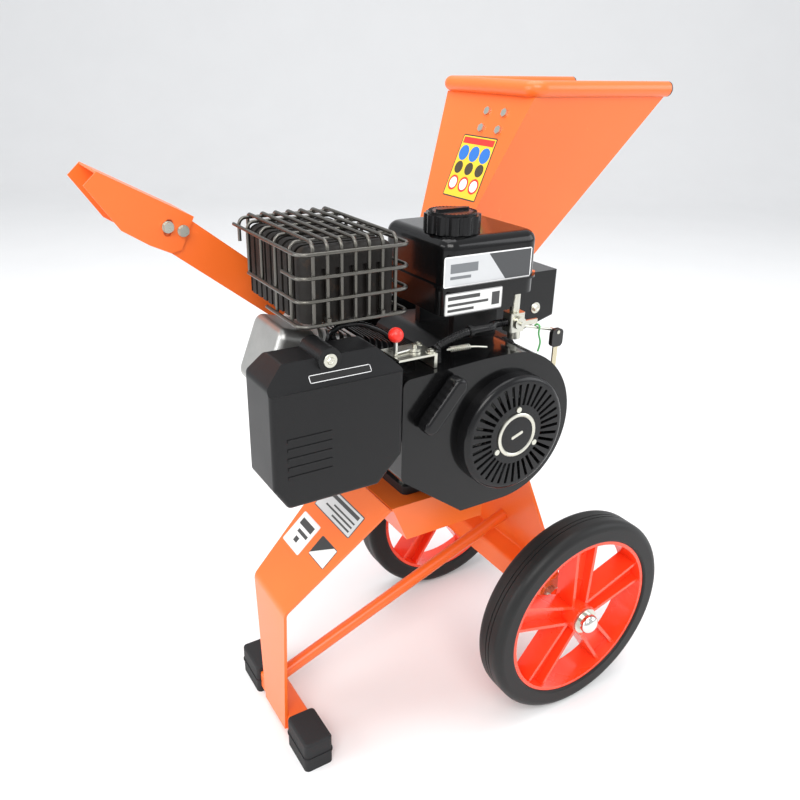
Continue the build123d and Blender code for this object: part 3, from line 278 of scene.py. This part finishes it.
def onCircle(x, y, share, radius):
    # a point on a circle in the plane of x and y, that share of a full turn round
    angle = math.tau * share
    return (x * math.cos(angle) + y * math.sin(angle)) * radius


def asMesh(shape, name):
    mesh = bpy.data.meshes.new(name)
    shape.to_mesh(mesh)
    shape.free()
    return mesh


def roundedSlab(width, height, depth, corner, steps=6):
    # a thin plate in its own x and y, standing on z 0
    shape = bmesh.new()
    ring = []
    for sideX, sideY, start in ((1, 1, 0), (-1, 1, 0.25), (-1, -1, 0.5), (1, -1, 0.75)):
        middle = Vector((sideX * (width / 2 - corner), sideY * (height / 2 - corner), 0))
        for step in range(steps + 1):
            spot = onCircle(Vector((1, 0, 0)), Vector((0, 1, 0)), start + 0.25 * step / steps, corner)
            ring.append(shape.verts.new(middle + spot))
    face = shape.faces.new(ring)
    made = bmesh.ops.extrude_face_region(shape, geom=[face])
    lifted = [v for v in made["geom"] if isinstance(v, bmesh.types.BMVert)]
    bmesh.ops.translate(shape, verts=lifted, vec=(0, 0, depth))
    bmesh.ops.recalc_face_normals(shape, faces=shape.faces)
    top = [e for e in shape.edges if all(v in lifted for v in e.verts)]
    bmesh.ops.bevel(shape, geom=top, offset=depth * 0.4, segments=2, affect="EDGES")
    return shape


def placed(shape, name, origin, xDir, normal):
    # sets the plate's middle, its x direction and the way it faces
    z = Vector(normal).normalized()
    x = (Vector(xDir) - z * Vector(xDir).dot(z)).normalized()
    y = z.cross(x)
    turn = Matrix((x, y, z)).transposed().to_4x4()
    turn.translation = Vector(origin)
    layer = shape.loops.layers.uv.new("flat")
    for face in shape.faces:
        for loop in face.loops:
            loop[layer].uv = (loop.vert.co.x, loop.vert.co.y)
    shape.transform(turn)
    return asMesh(shape, name)


def labelShade(name, settings):
    # a plate's or sticker's print: plain bars and dots on a ground, with a border
    shade = Shade(name, settings["ground"], settings["roughness"])
    uv = shade.tree.nodes.new("ShaderNodeUVMap")
    uv.uv_map = "flat"
    split = shade.tree.nodes.new("ShaderNodeSeparateXYZ")
    shade.tree.links.new(uv.outputs[0], split.inputs[0])
    x, y = Sock(shade.tree, split.outputs[0]), Sock(shade.tree, split.outputs[1])
    ground = settings["ground"]
    look = shade.mix(shade.noise(30.0), ground, tuple(c * 0.86 for c in ground))
    halfX, halfY = settings["size"][0] / 2, settings["size"][1] / 2
    if "second" in settings:
        look = shade.mix((x + y * 0.8) > settings["split"], look, settings["second"])
    for left, low, right, high in settings.get("bars", ()):
        inside = (x > left * halfX) * (x < right * halfX) * (y > low * halfY) * (y < high * halfY)
        look = shade.mix(inside, look, settings["ink"])
    for midX, midY, radius, color in settings.get("dots", ()):
        dx, dy = x - midX * halfX, y - midY * halfY
        look = shade.mix((dx * dx + dy * dy) < radius * radius, look, color)
    edge = ((x.size() > halfX - settings["edge"]) + (y.size() > halfY - settings["edge"])).atMost(1.0)
    look = shade.mix(edge, look, settings["border"])
    shade.feed("Base Color", look)
    shade.feed("Roughness", settings["roughness"] + shade.noise(120.0) * 0.15)
    return shade.material


plateThickness, plateCorner = 0.0003, 0.0025
upperLeg = Vector((-0.676, 0, 0.737)).normalized()
legAlong = Vector((0.737, 0, 0.676)).normalized()
backOfHopper = Vector((-0.924, 0, 0.383)).normalized()
blue, ink, red, white = (0.02, 0.16, 0.55), (0.05, 0.04, 0.02), (0.75, 0.03, 0.02), (0.85, 0.85, 0.82)
rows = ((0.42, 0.011, blue), (-0.05, 0.009, ink), (-0.55, 0.011, red), (-0.55, 0.008, white))
marks = [(column, row, radius, color) for row, radius, color in rows for column in (-0.62, 0.0, 0.62)]
plates = {
    "tankPlate": dict(
        on="fuel_tank", size=(0.125, 0.035), at=(-0.0165, -0.1252, 0.650), along=(1, 0, 0), normal=(0, -1, 0),
        ground=(0.60, 0.61, 0.62), second=(0.055, 0.057, 0.06), split=0.012, ink=(0.16, 0.17, 0.18),
        roughness=0.3, edge=0.0014, border=(0.85, 0.85, 0.85),
        bars=((-0.86, -0.1, -0.25, 0.5), (-0.86, -0.5, -0.4, -0.3))),
    "tankStrip": dict(
        on="fuel_tank", size=(0.082, 0.026), at=(-0.035, -0.1252, 0.6125), along=(1, 0, 0), normal=(0, -1, 0),
        ground=(0.82, 0.82, 0.80), ink=(0.05, 0.05, 0.05),
        roughness=0.45, edge=0.0012, border=(0.30, 0.30, 0.30),
        bars=((-0.9, 0.35, 0.2, 0.7), (-0.9, -0.2, 0.5, 0.05), (-0.9, -0.7, 0.0, -0.45),
              (0.62, -0.6, 0.9, 0.6))),
    "ratingPlate": dict(
        on="front_leg", size=(0.034, 0.098), at=(-0.1605, -0.0275, 0.3148), along=legAlong, normal=upperLeg,
        ground=(0.66, 0.67, 0.67), ink=(0.06, 0.06, 0.06),
        roughness=0.32, edge=0.0014, border=(0.08, 0.08, 0.08),
        bars=((0.45, -0.85, 0.75, 0.85), (0.0, -0.85, 0.14, 0.3), (-0.35, -0.85, -0.2, 0.6),
              (-0.7, -0.85, -0.55, 0.1))),
    "whiteSticker": dict(
        on="front_leg", size=(0.048, 0.048), at=(-0.2020, 0.0020, 0.2765), along=legAlong, normal=upperLeg,
        ground=(0.85, 0.85, 0.84), ink=(0.05, 0.05, 0.05),
        roughness=0.4, edge=0.0012, border=(0.70, 0.70, 0.70),
        bars=((0.3, -0.7, 0.7, 0.7), (-0.1, -0.7, 0.1, 0.4), (-0.6, -0.2, -0.3, 0.2))),
    "smallSticker": dict(
        on="front_leg", size=(0.030, 0.042), at=(-0.1990, -0.0560, 0.2795), along=legAlong, normal=upperLeg,
        ground=(0.80, 0.80, 0.78), second=(0.03, 0.03, 0.03), split=0.004,
        roughness=0.4, edge=0.001, border=(0.05, 0.05, 0.05)),
    "hopperSticker": dict(
        on="hopper", size=(0.078, 0.090), at=(0.1170, 0.1030, 0.7262), along=(0, -1, 0), normal=backOfHopper,
        ground=(0.90, 0.60, 0.03), ink=red, roughness=0.4, edge=0.0018, border=(0.03, 0.03, 0.03),
        bars=((-0.9, 0.72, 0.9, 0.92),), dots=marks),
}


def seated(node, at, normal):
    # the point on the node's surface under a plate's middle
    thing = nodes[node]
    back = thing.matrix_world.inverted()
    start = back @ (Vector(at) + Vector(normal) * 0.03)
    hit, place, _, _ = thing.ray_cast(start, back.to_3x3() @ -Vector(normal))
    return thing.matrix_world @ place if hit else Vector(at)


for name, settings in plates.items():
    spot = seated(settings["on"], settings["at"], settings["normal"])
    slab = roundedSlab(*settings["size"], plateThickness, plateCorner)
    mesh = placed(slab, name, spot, settings["along"], settings["normal"])
    finishPiece(mesh, name, labelShade(name, settings), "machine")
print("plates made", len(plates))


def turned(name, profile, center, axis, steps=64):
    # a round piece: profile is (radius, height) pairs along the axis
    z = Vector(axis).normalized()
    x = z.orthogonal().normalized()
    y = z.cross(x)
    shape = bmesh.new()
    rings = []
    for radius, height in profile:
        middle = Vector(center) + z * height
        if radius == 0:
            rings.append([shape.verts.new(middle)])
        else:
            rings.append([shape.verts.new(middle + onCircle(x, y, k / steps, radius)) for k in range(steps)])
    for low, high in zip(rings, rings[1:]):
        for k in range(steps):
            m = (k + 1) % steps
            if len(low) == 1:
                shape.faces.new((low[0], high[k], high[m]))
            elif len(high) == 1:
                shape.faces.new((low[k], low[m], high[0]))
            else:
                shape.faces.new((low[k], low[m], high[m], high[k]))
    bmesh.ops.recalc_face_normals(shape, faces=shape.faces)
    for face in shape.faces:
        face.smooth = True
    mesh = asMesh(shape, name)
    mesh.set_sharp_from_angle(angle=math.radians(32))
    return mesh


facingNear = (0, -1, 0)
badge = dict(center=(0, -0.1791, 0.456), radius=0.0283, domed=0.0022, bar=(0.018, 0.004, 0.0004, 0.0019))
edge, rise = badge["radius"], badge["domed"]
rim = [(edge, 0), (edge, rise * 0.7), (edge - 0.001, rise), (edge - 0.0035, rise),
       (edge - 0.0045, rise * 0.7), (edge - 0.0046, rise * 0.6), (0, rise * 0.6)]
finishPiece(turned("badgeRing", rim, badge["center"], facingNear), "badgeRing", "zinc", "machine")
face = [(edge - 0.0047, rise * 0.61), (edge - 0.012, rise * 0.66), (0, rise * 0.68)]
mesh = turned("badgeFace", face, badge["center"], facingNear)
finishPiece(mesh, "badgeFace", "satinBlack", "machine")
barSeat = Vector(badge["center"]) + Vector(facingNear) * rise * 0.66
mesh = placed(roundedSlab(*badge["bar"]), "badgeBar", barSeat, (0.94, 0, 0.34), facingNear)
finishPiece(mesh, "badgeBar", "zinc", "machine")

ledge = dict(at=(-0.228, -0.1640, 0.5735), size=(0.070, 0.0085), lean=Vector((0, -29, 23)).normalized(),
             ground=(0.016, 0.016, 0.016), roughness=0.4, edge=0.0007, border=(0.72, 0.72, 0.72))
strip = roundedSlab(*ledge["size"], plateThickness, 0.0020)
spot = seated("air_box_cover", ledge["at"], ledge["lean"])
mesh = placed(strip, "ledgeStrip", spot, (1, 0, 0), ledge["lean"])
finishPiece(mesh, "ledgeStrip", labelShade("ledgeStrip", ledge), "machine")
print("badge and strip made")


def evenly(route, count):
    # that many steps of one length along the route, with its corners softened
    spans = [(b - a).length for a, b in zip(route, route[1:])]
    points = []
    for k in range(count + 1):
        left = sum(spans) * k / count
        index = 0
        while index < len(spans) - 1 and left > spans[index]:
            left -= spans[index]
            index += 1
        points.append(route[index].lerp(route[index + 1], min(1.0, left / spans[index])))
    for _ in range(max(2, count // 24)):
        softened = [(a + b * 2 + c) / 4 for a, b, c in zip(points, points[1:], points[2:])]
        points = [points[0]] + softened + [points[-1]]
    return points


def swept(name, route, radius, sides=10, wave=0.0, waves=0):
    # a tube along route points in metres; a waved radius gives the ribs of a convoluted hose
    curve = [Vector(p) for p in route]
    count = max(len(curve) * 6, waves * 8)
    points = evenly(curve, count)
    shape = bmesh.new()
    side = (points[1] - points[0]).orthogonal().normalized()
    circles = []
    for k, point in enumerate(points):
        heading = (points[min(k + 1, count)] - points[max(k - 1, 0)]).normalized()
        side = (side - heading * side.dot(heading)).normalized()
        other = heading.cross(side)
        size = radius - wave * (0.5 - 0.5 * math.cos(math.tau * waves * k / count))
        spots = [point + onCircle(side, other, j / sides, size) for j in range(sides)]
        circles.append([shape.verts.new(spot) for spot in spots])
    for low, high in zip(circles, circles[1:]):
        for j in range(sides):
            m = (j + 1) % sides
            shape.faces.new((low[j], low[m], high[m], high[j])).smooth = True
    shape.faces.new(circles[0])
    shape.faces.new(circles[-1])
    bmesh.ops.recalc_face_normals(shape, faces=shape.faces)
    return asMesh(shape, name)


def spline(points, per=8):
    # a smooth run through the points, by the Catmull-Rom formula
    knots = [Vector(p) for p in points]
    padded = [knots[0] * 2 - knots[1]] + knots + [knots[-1] * 2 - knots[-2]]
    run = []
    for a, b, c, d in zip(padded, padded[1:], padded[2:], padded[3:]):
        for k in range(per):
            t = k / per
            bend = (a * 2 - b * 5 + c * 4 - d) * t * t + (b * 3 - a - c * 3 + d) * t ** 3
            run.append((b * 2 + (c - a) * t + bend) / 2)
    return run + [knots[-1]]


hose = dict(radius=0.005, wave=0.0011, waves=44,
            route=[(-0.092, -0.138, 0.5525), (-0.092, -0.138, 0.569), (-0.082, -0.140, 0.5755),
                   (-0.058, -0.142, 0.583), (-0.036, -0.139, 0.5825), (-0.016, -0.134, 0.5805),
                   (0.008, -0.112, 0.574), (0.0262, -0.112, 0.574)])
mesh = swept("ribbedHose", spline(hose["route"]), hose["radius"],
             sides=14, wave=hose["wave"], waves=hose["waves"])
ribbedHose = finishPiece(mesh, "ribbedHose", "satinBlack", "machine")
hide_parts("fuel_hose")


def coiled(start, way, radius, turns, perTurn):
    # a helix that runs along way, which is close to x
    steps = turns * perTurn
    y, z = Vector((0, 1, 0)), Vector((0, 0, 1))
    return [start + way * (k / steps) + onCircle(y, z, k / perTurn, radius) for k in range(steps + 1)]


tie = dict(start=Vector((-0.0524, -0.1412, 0.5833)), way=Vector((0.0048, 0, 0)), radius=0.0062, wire=0.0010)
loop = coiled(tie["start"], tie["way"], tie["radius"], turns=3, perTurn=16)
tail = [loop[-1] + Vector((0.001, -0.005, 0.003)), loop[-1] + Vector((0.003, -0.008, 0.004))]
mesh = swept("hoseTie", loop + tail, tie["wire"], sides=6)
finishPiece(mesh, "hoseTie", "satinBlack", "machine")

keyTie = dict(radius=0.0012,
              route=[(0.076, -0.1092, 0.5612), (0.0775, -0.112, 0.5634), (0.079, -0.1150, 0.5608),
                     (0.078, -0.1156, 0.552), (0.081, -0.1165, 0.540), (0.079, -0.1160, 0.528)])
mesh = swept("greenTie", spline(keyTie["route"]), keyTie["radius"], sides=8)
finishPiece(mesh, "greenTie", "green", "machine")

# control rods and the governor spring beside the cylinder
rods = {
    "throttleRod": dict(radius=0.0013, route=[(-0.086, -0.1475, 0.5690), (-0.072, -0.149, 0.5690),
                                              (-0.052, -0.150, 0.5680), (-0.030, -0.148, 0.563)]),
    "governorRod": dict(radius=0.0011, route=[(-0.192, -0.092, 0.5452), (-0.180, -0.100, 0.5455),
                                              (-0.160, -0.104, 0.5460), (-0.152, -0.104, 0.556)]),
}
for name, settings in rods.items():
    mesh = swept(name, spline(settings["route"]), settings["radius"], sides=8)
    finishPiece(mesh, name, "zinc", "machine")

spring = dict(start=Vector((-0.082, -0.148, 0.5690)), way=Vector((0.026, -0.002, 0)), radius=0.0032,
              wire=0.0006)
coil = coiled(spring["start"], spring["way"], spring["radius"], turns=10, perTurn=10)
mesh = swept("governorSpring", coil, spring["wire"], sides=6)
finishPiece(mesh, "governorSpring", "zinc", "machine")
print("hose, tie, rods and spring made")


def repeatGroup():
    # boxes in a row, or round a ring where each one turns to face outwards
    tree = bpy.data.node_groups.new("repeatBars", "GeometryNodeTree")
    inputs = {"Count": "Int", "Step": "Vector", "Bar Size": "Vector", "Start": "Vector",
              "Ring Radius": "Float", "Around": "Bool", "Material": "Material"}
    for name, kind in inputs.items():
        tree.interface.new_socket(name, in_out="INPUT", socket_type="NodeSocket" + kind)
    tree.interface.new_socket("Geometry", in_out="OUTPUT", socket_type="NodeSocketGeometry")

    def add(kind, links, settings=None):
        # one node with its settings, its inputs linked by name or number; gives its first output
        node = tree.nodes.new(kind)
        for key, value in (settings or {}).items():
            setattr(node, key, value)
        for key, source in links.items():
            tree.links.new(source, node.inputs[key])
        return node.outputs[0]

    given = tree.nodes.new("NodeGroupInput").outputs
    start, around = given["Start"], given["Around"]
    row = {"Count": given["Count"], "Offset": given["Step"], "Start Location": start}
    line = add("GeometryNodeMeshLine", row)
    ring = add("GeometryNodeMeshCircle", {"Vertices": given["Count"], "Radius": given["Ring Radius"]})
    lifted = add("GeometryNodeTransform", {"Geometry": ring, "Translation": start})
    either = {"Switch": around, "False": line, "True": lifted}
    points = add("GeometryNodeSwitch", either, {"input_type": "GEOMETRY"})
    position = add("GeometryNodeInputPosition", {})
    outwards = add("ShaderNodeVectorMath", {0: position, 1: start}, {"operation": "SUBTRACT"})
    facing = add("FunctionNodeAlignRotationToVector", {"Vector": outwards}, {"axis": "X", "pivot_axis": "Z"})
    turn = add("GeometryNodeSwitch", {"Switch": around, "True": facing}, {"input_type": "ROTATION"})
    bar = add("GeometryNodeMeshCube", {"Size": given["Bar Size"]})
    copies = add("GeometryNodeInstanceOnPoints", {"Points": points, "Instance": bar, "Rotation": turn})
    solid = add("GeometryNodeRealizeInstances", {"Geometry": copies})
    painted = add("GeometryNodeSetMaterial", {"Geometry": solid, "Material": given["Material"]})
    tree.links.new(painted, tree.nodes.new("NodeGroupOutput").inputs[0])
    return tree


repeatBars = repeatGroup()


def repeated(name, settings, material, body):
    # turns the repeated bars into one mesh and rounds their edges
    holder = bpy.data.objects.new(name, bpy.data.meshes.new(name + "Seed"))
    bpy.context.scene.collection.objects.link(holder)
    modifier = holder.modifiers.new("repeat", "NODES")
    modifier.node_group = repeatBars
    values = {**settings, "Material": mats[material]}
    for item in repeatBars.interface.items_tree:
        if item.in_out == "INPUT":
            modifier[item.identifier] = values[item.name]
    bpy.context.view_layer.update()
    made = holder.evaluated_get(bpy.context.evaluated_depsgraph_get())
    mesh = bpy.data.meshes.new_from_object(made)
    bpy.data.objects.remove(holder)
    shape = bmesh.new()
    shape.from_mesh(mesh)
    rounding = min(settings["Bar Size"]) * 0.25
    bmesh.ops.bevel(shape, geom=shape.edges[:], offset=rounding, segments=2, affect="EDGES")
    shape.to_mesh(mesh)
    shape.free()
    return finishPiece(mesh, name, material, body)


ribs = {
    "coverRibs": dict(
        material="texturedBlack", body="machine",
        settings={"Count": 5, "Step": (0.0, 0.0, 0.0105), "Bar Size": (0.050, 0.0012, 0.0040),
                  "Start": (-0.268, -0.1733, 0.474), "Ring Radius": 0.0, "Around": False}),
    "sideRibs": dict(
        material="texturedBlack", body="machine",
        settings={"Count": 6, "Step": (0.0, 0.0, 0.0105), "Bar Size": (0.0012, 0.024, 0.0038),
                  "Start": (-0.1568, -0.140, 0.486), "Ring Radius": 0.0, "Around": False}),
    "capRibs": dict(
        material="satinBlack", body="tank_cap",
        settings={"Count": 36, "Step": (0.0, 0.0, 0.0), "Bar Size": (0.0050, 0.0016, 0.0016),
                  "Start": (-0.042, -0.084, 0.7090), "Ring Radius": 0.0255, "Around": True}),
}
for name, piece in ribs.items():
    repeated(name, piece["settings"], piece["material"], piece["body"])
print("repeats made", len(ribs))


washerTop = 0.0011
heads = {
    "airBoxScrew": dict(on="air_box_cover", at=(-0.237, -0.175, 0.5875), normal=(0, -1, 0),
                        head=0.0042, tall=0.0026, washer=0.0075),
    "housingBolt": dict(on="rotor_housing", at=(0.241, 0.060, 0.510), normal=(0, -1, 0),
                        head=0.0062, tall=0.0050, washer=0.0090),
    "bracketBoltNear": dict(on="control_bracket", at=(-0.1045, -0.1430, 0.575), normal=(0, 0, 1),
                            head=0.0040, tall=0.0034, washer=0.0058),
    "bracketBoltFar": dict(on="control_bracket", at=(-0.1045, -0.1165, 0.575), normal=(0, 0, 1),
                           head=0.0036, tall=0.0030, washer=0.0052),
}
for name, settings in heads.items():
    spot = seated(settings["on"], settings["at"], settings["normal"])
    washer, tall, head = settings["washer"], settings["tall"], settings["head"]
    profile = [(0, 0), (washer, 0), (washer, 0.0008), (washer - 0.0003, washerTop), (0, washerTop)]
    disc = turned(name + "Washer", profile, spot, settings["normal"], steps=32)
    finishPiece(disc, name + "Washer", "zinc", "machine")
    profile = [(0, washerTop), (head, washerTop), (head, tall - head * 0.12), (head * 0.86, tall),
               (head * 0.5, tall), (head * 0.42, tall - 0.0004), (0, tall - 0.0004)]
    hexagon = turned(name, profile, spot, settings["normal"], steps=6)
    finishPiece(hexagon, name, "zinc", "machine")

weld = dict(center=Vector((-0.2598, -0.027, 0.0768)), way=Vector((0.942, 0, 0.334)), radius=0.0098,
            bead=0.0022, waves=16, steps=48)
z = weld["way"].normalized()
x = z.orthogonal().normalized()
loop = [weld["center"] + onCircle(x, z.cross(x), k / weld["steps"], weld["radius"])
        for k in range(weld["steps"] + 1)]
mesh = swept("rodWeldFront", loop, weld["bead"], sides=8, wave=weld["bead"] * 0.3, waves=weld["waves"])
finishPiece(mesh, "rodWeldFront", "orange", "machine")

twoPart = {
    "keys": dict(edge=0.5325, low=(0.62, 0.56, 0.40), high=(0.012, 0.012, 0.012)),
    "throttle_lever": dict(edge=0.5840, low=(0.66, 0.66, 0.62), high=(0.85, 0.03, 0.02)),
}
for name, settings in twoPart.items():
    # bare metal below the edge and moulded plastic above it
    shade = Shade(name + "TwoPart", settings["low"], 0.3, 1.0)
    edge = (nodes[name].matrix_world.inverted() @ Vector((0, 0, settings["edge"]))).z
    above = shade.axes()[2] > edge
    shade.feed("Base Color", shade.mix(above, settings["low"], settings["high"]))
    shade.feed("Metallic", 1.0 - above)
    shade.feed("Roughness", 0.28 + shade.noise(90.0) * 0.12)
    paint(name, shade.material)
print("fasteners, weld and two-part finishes made")


def stageMesh(name, verts, faces):
    mesh = bpy.data.meshes.new(name)
    mesh.from_pydata(verts, [], faces)
    thing = bpy.data.objects.new(name, mesh)
    bpy.context.scene.collection.objects.link(thing)
    return thing


floorShade = Shade("paleFloor", (0.84, 0.84, 0.84), 0.75)
tint = floorShade.noise(3.0)
floorShade.feed("Base Color", floorShade.mix(tint, (0.83, 0.83, 0.83), (0.87, 0.87, 0.87)))
# a floor that curves up into a wall behind
studio = dict(front=-6.0, bendAt=4.0, bendRadius=2.0, top=7.0, halfWidth=9.0, heading=math.radians(32))
sweep = [(studio["front"], 0.0)]
for degrees in range(0, 91, 6):
    angle = math.radians(degrees)
    sweep.append((studio["bendAt"] + studio["bendRadius"] * math.sin(angle),
                  studio["bendRadius"] * (1 - math.cos(angle))))
sweep.append((studio["bendAt"] + studio["bendRadius"], studio["top"]))
heading = Vector((math.sin(studio["heading"]), math.cos(studio["heading"]), 0))
across = Vector((heading.y, -heading.x, 0))
verts, faces = [], []
for run, height in sweep:
    for side in (-studio["halfWidth"], studio["halfWidth"]):
        verts.append(heading * run + across * side + Vector((0, 0, height)))
for k in range(len(sweep) - 1):
    faces.append((2 * k, 2 * k + 1, 2 * k + 3, 2 * k + 2))
floor = stageMesh("floor", verts, faces)
floor.data.materials.append(floorShade.material)
for polygon in floor.data.polygons:
    polygon.use_smooth = True

lights = {
    "keyLight": dict(at=(-1.6, -2.2, 2.9), size=(2.2, 1.6), power=82, color=(1.0, 0.985, 0.96)),
    "fillLight": dict(at=(2.6, -1.7, 1.7), size=(2.2, 1.8), power=34, color=(0.96, 0.98, 1.0)),
    "topLight": dict(at=(0.1, 0.5, 3.2), size=(2.6, 2.6), power=56, color=(1.0, 1.0, 1.0)),
    "leftLight": dict(at=(-2.7, 0.3, 1.3), size=(1.6, 1.6), power=34, color=(1.0, 1.0, 1.0)),
}
aim = Vector((0, 0, 0.4))
for name, settings in lights.items():
    lamp = bpy.data.lights.new(name, "AREA")
    lamp.shape = "RECTANGLE"
    lamp.size, lamp.size_y = settings["size"]
    lamp.energy = settings["power"]
    lamp.color = settings["color"]
    holder = bpy.data.objects.new(name, lamp)
    holder.location = settings["at"]
    holder.rotation_euler = (aim - Vector(settings["at"])).to_track_quat("-Z", "Y").to_euler()
    bpy.context.scene.collection.objects.link(holder)

world = bpy.data.worlds.new("studio")
world.use_nodes = True
world.node_tree.nodes["Background"].inputs["Color"].default_value = (0.95, 0.97, 1.0, 1)
world.node_tree.nodes["Background"].inputs["Strength"].default_value = 0.78
bpy.context.scene.world = world
bpy.context.scene.view_settings.view_transform = "Standard"

lens = dict(at=(-0.5619, -0.8102, 0.8688), azimuth=-32.1, elevation=24.0, roll=-1.4, focal=34.83)
azimuth, elevation, roll = (math.radians(lens[key]) for key in ("azimuth", "elevation", "roll"))
forward = -Vector((math.sin(azimuth) * math.cos(elevation), -math.cos(azimuth) * math.cos(elevation),
                   math.sin(elevation)))
right = forward.cross(Vector((0, 0, 1))).normalized()
down = forward.cross(right)
right, down = right * math.cos(roll) + down * math.sin(roll), down * math.cos(roll) - right * math.sin(roll)
camera = bpy.data.objects.new("camera", bpy.data.cameras.new("camera"))
camera.data.lens = lens["focal"]
camera.data.sensor_width = 36
camera.data.clip_start = 0.01
matrix = Matrix((right, -down, -forward)).transposed().to_4x4()
matrix.translation = Vector(lens["at"])
camera.matrix_world = matrix
bpy.context.scene.collection.objects.link(camera)
bpy.context.scene.camera = camera
print("floor, lights and camera made")
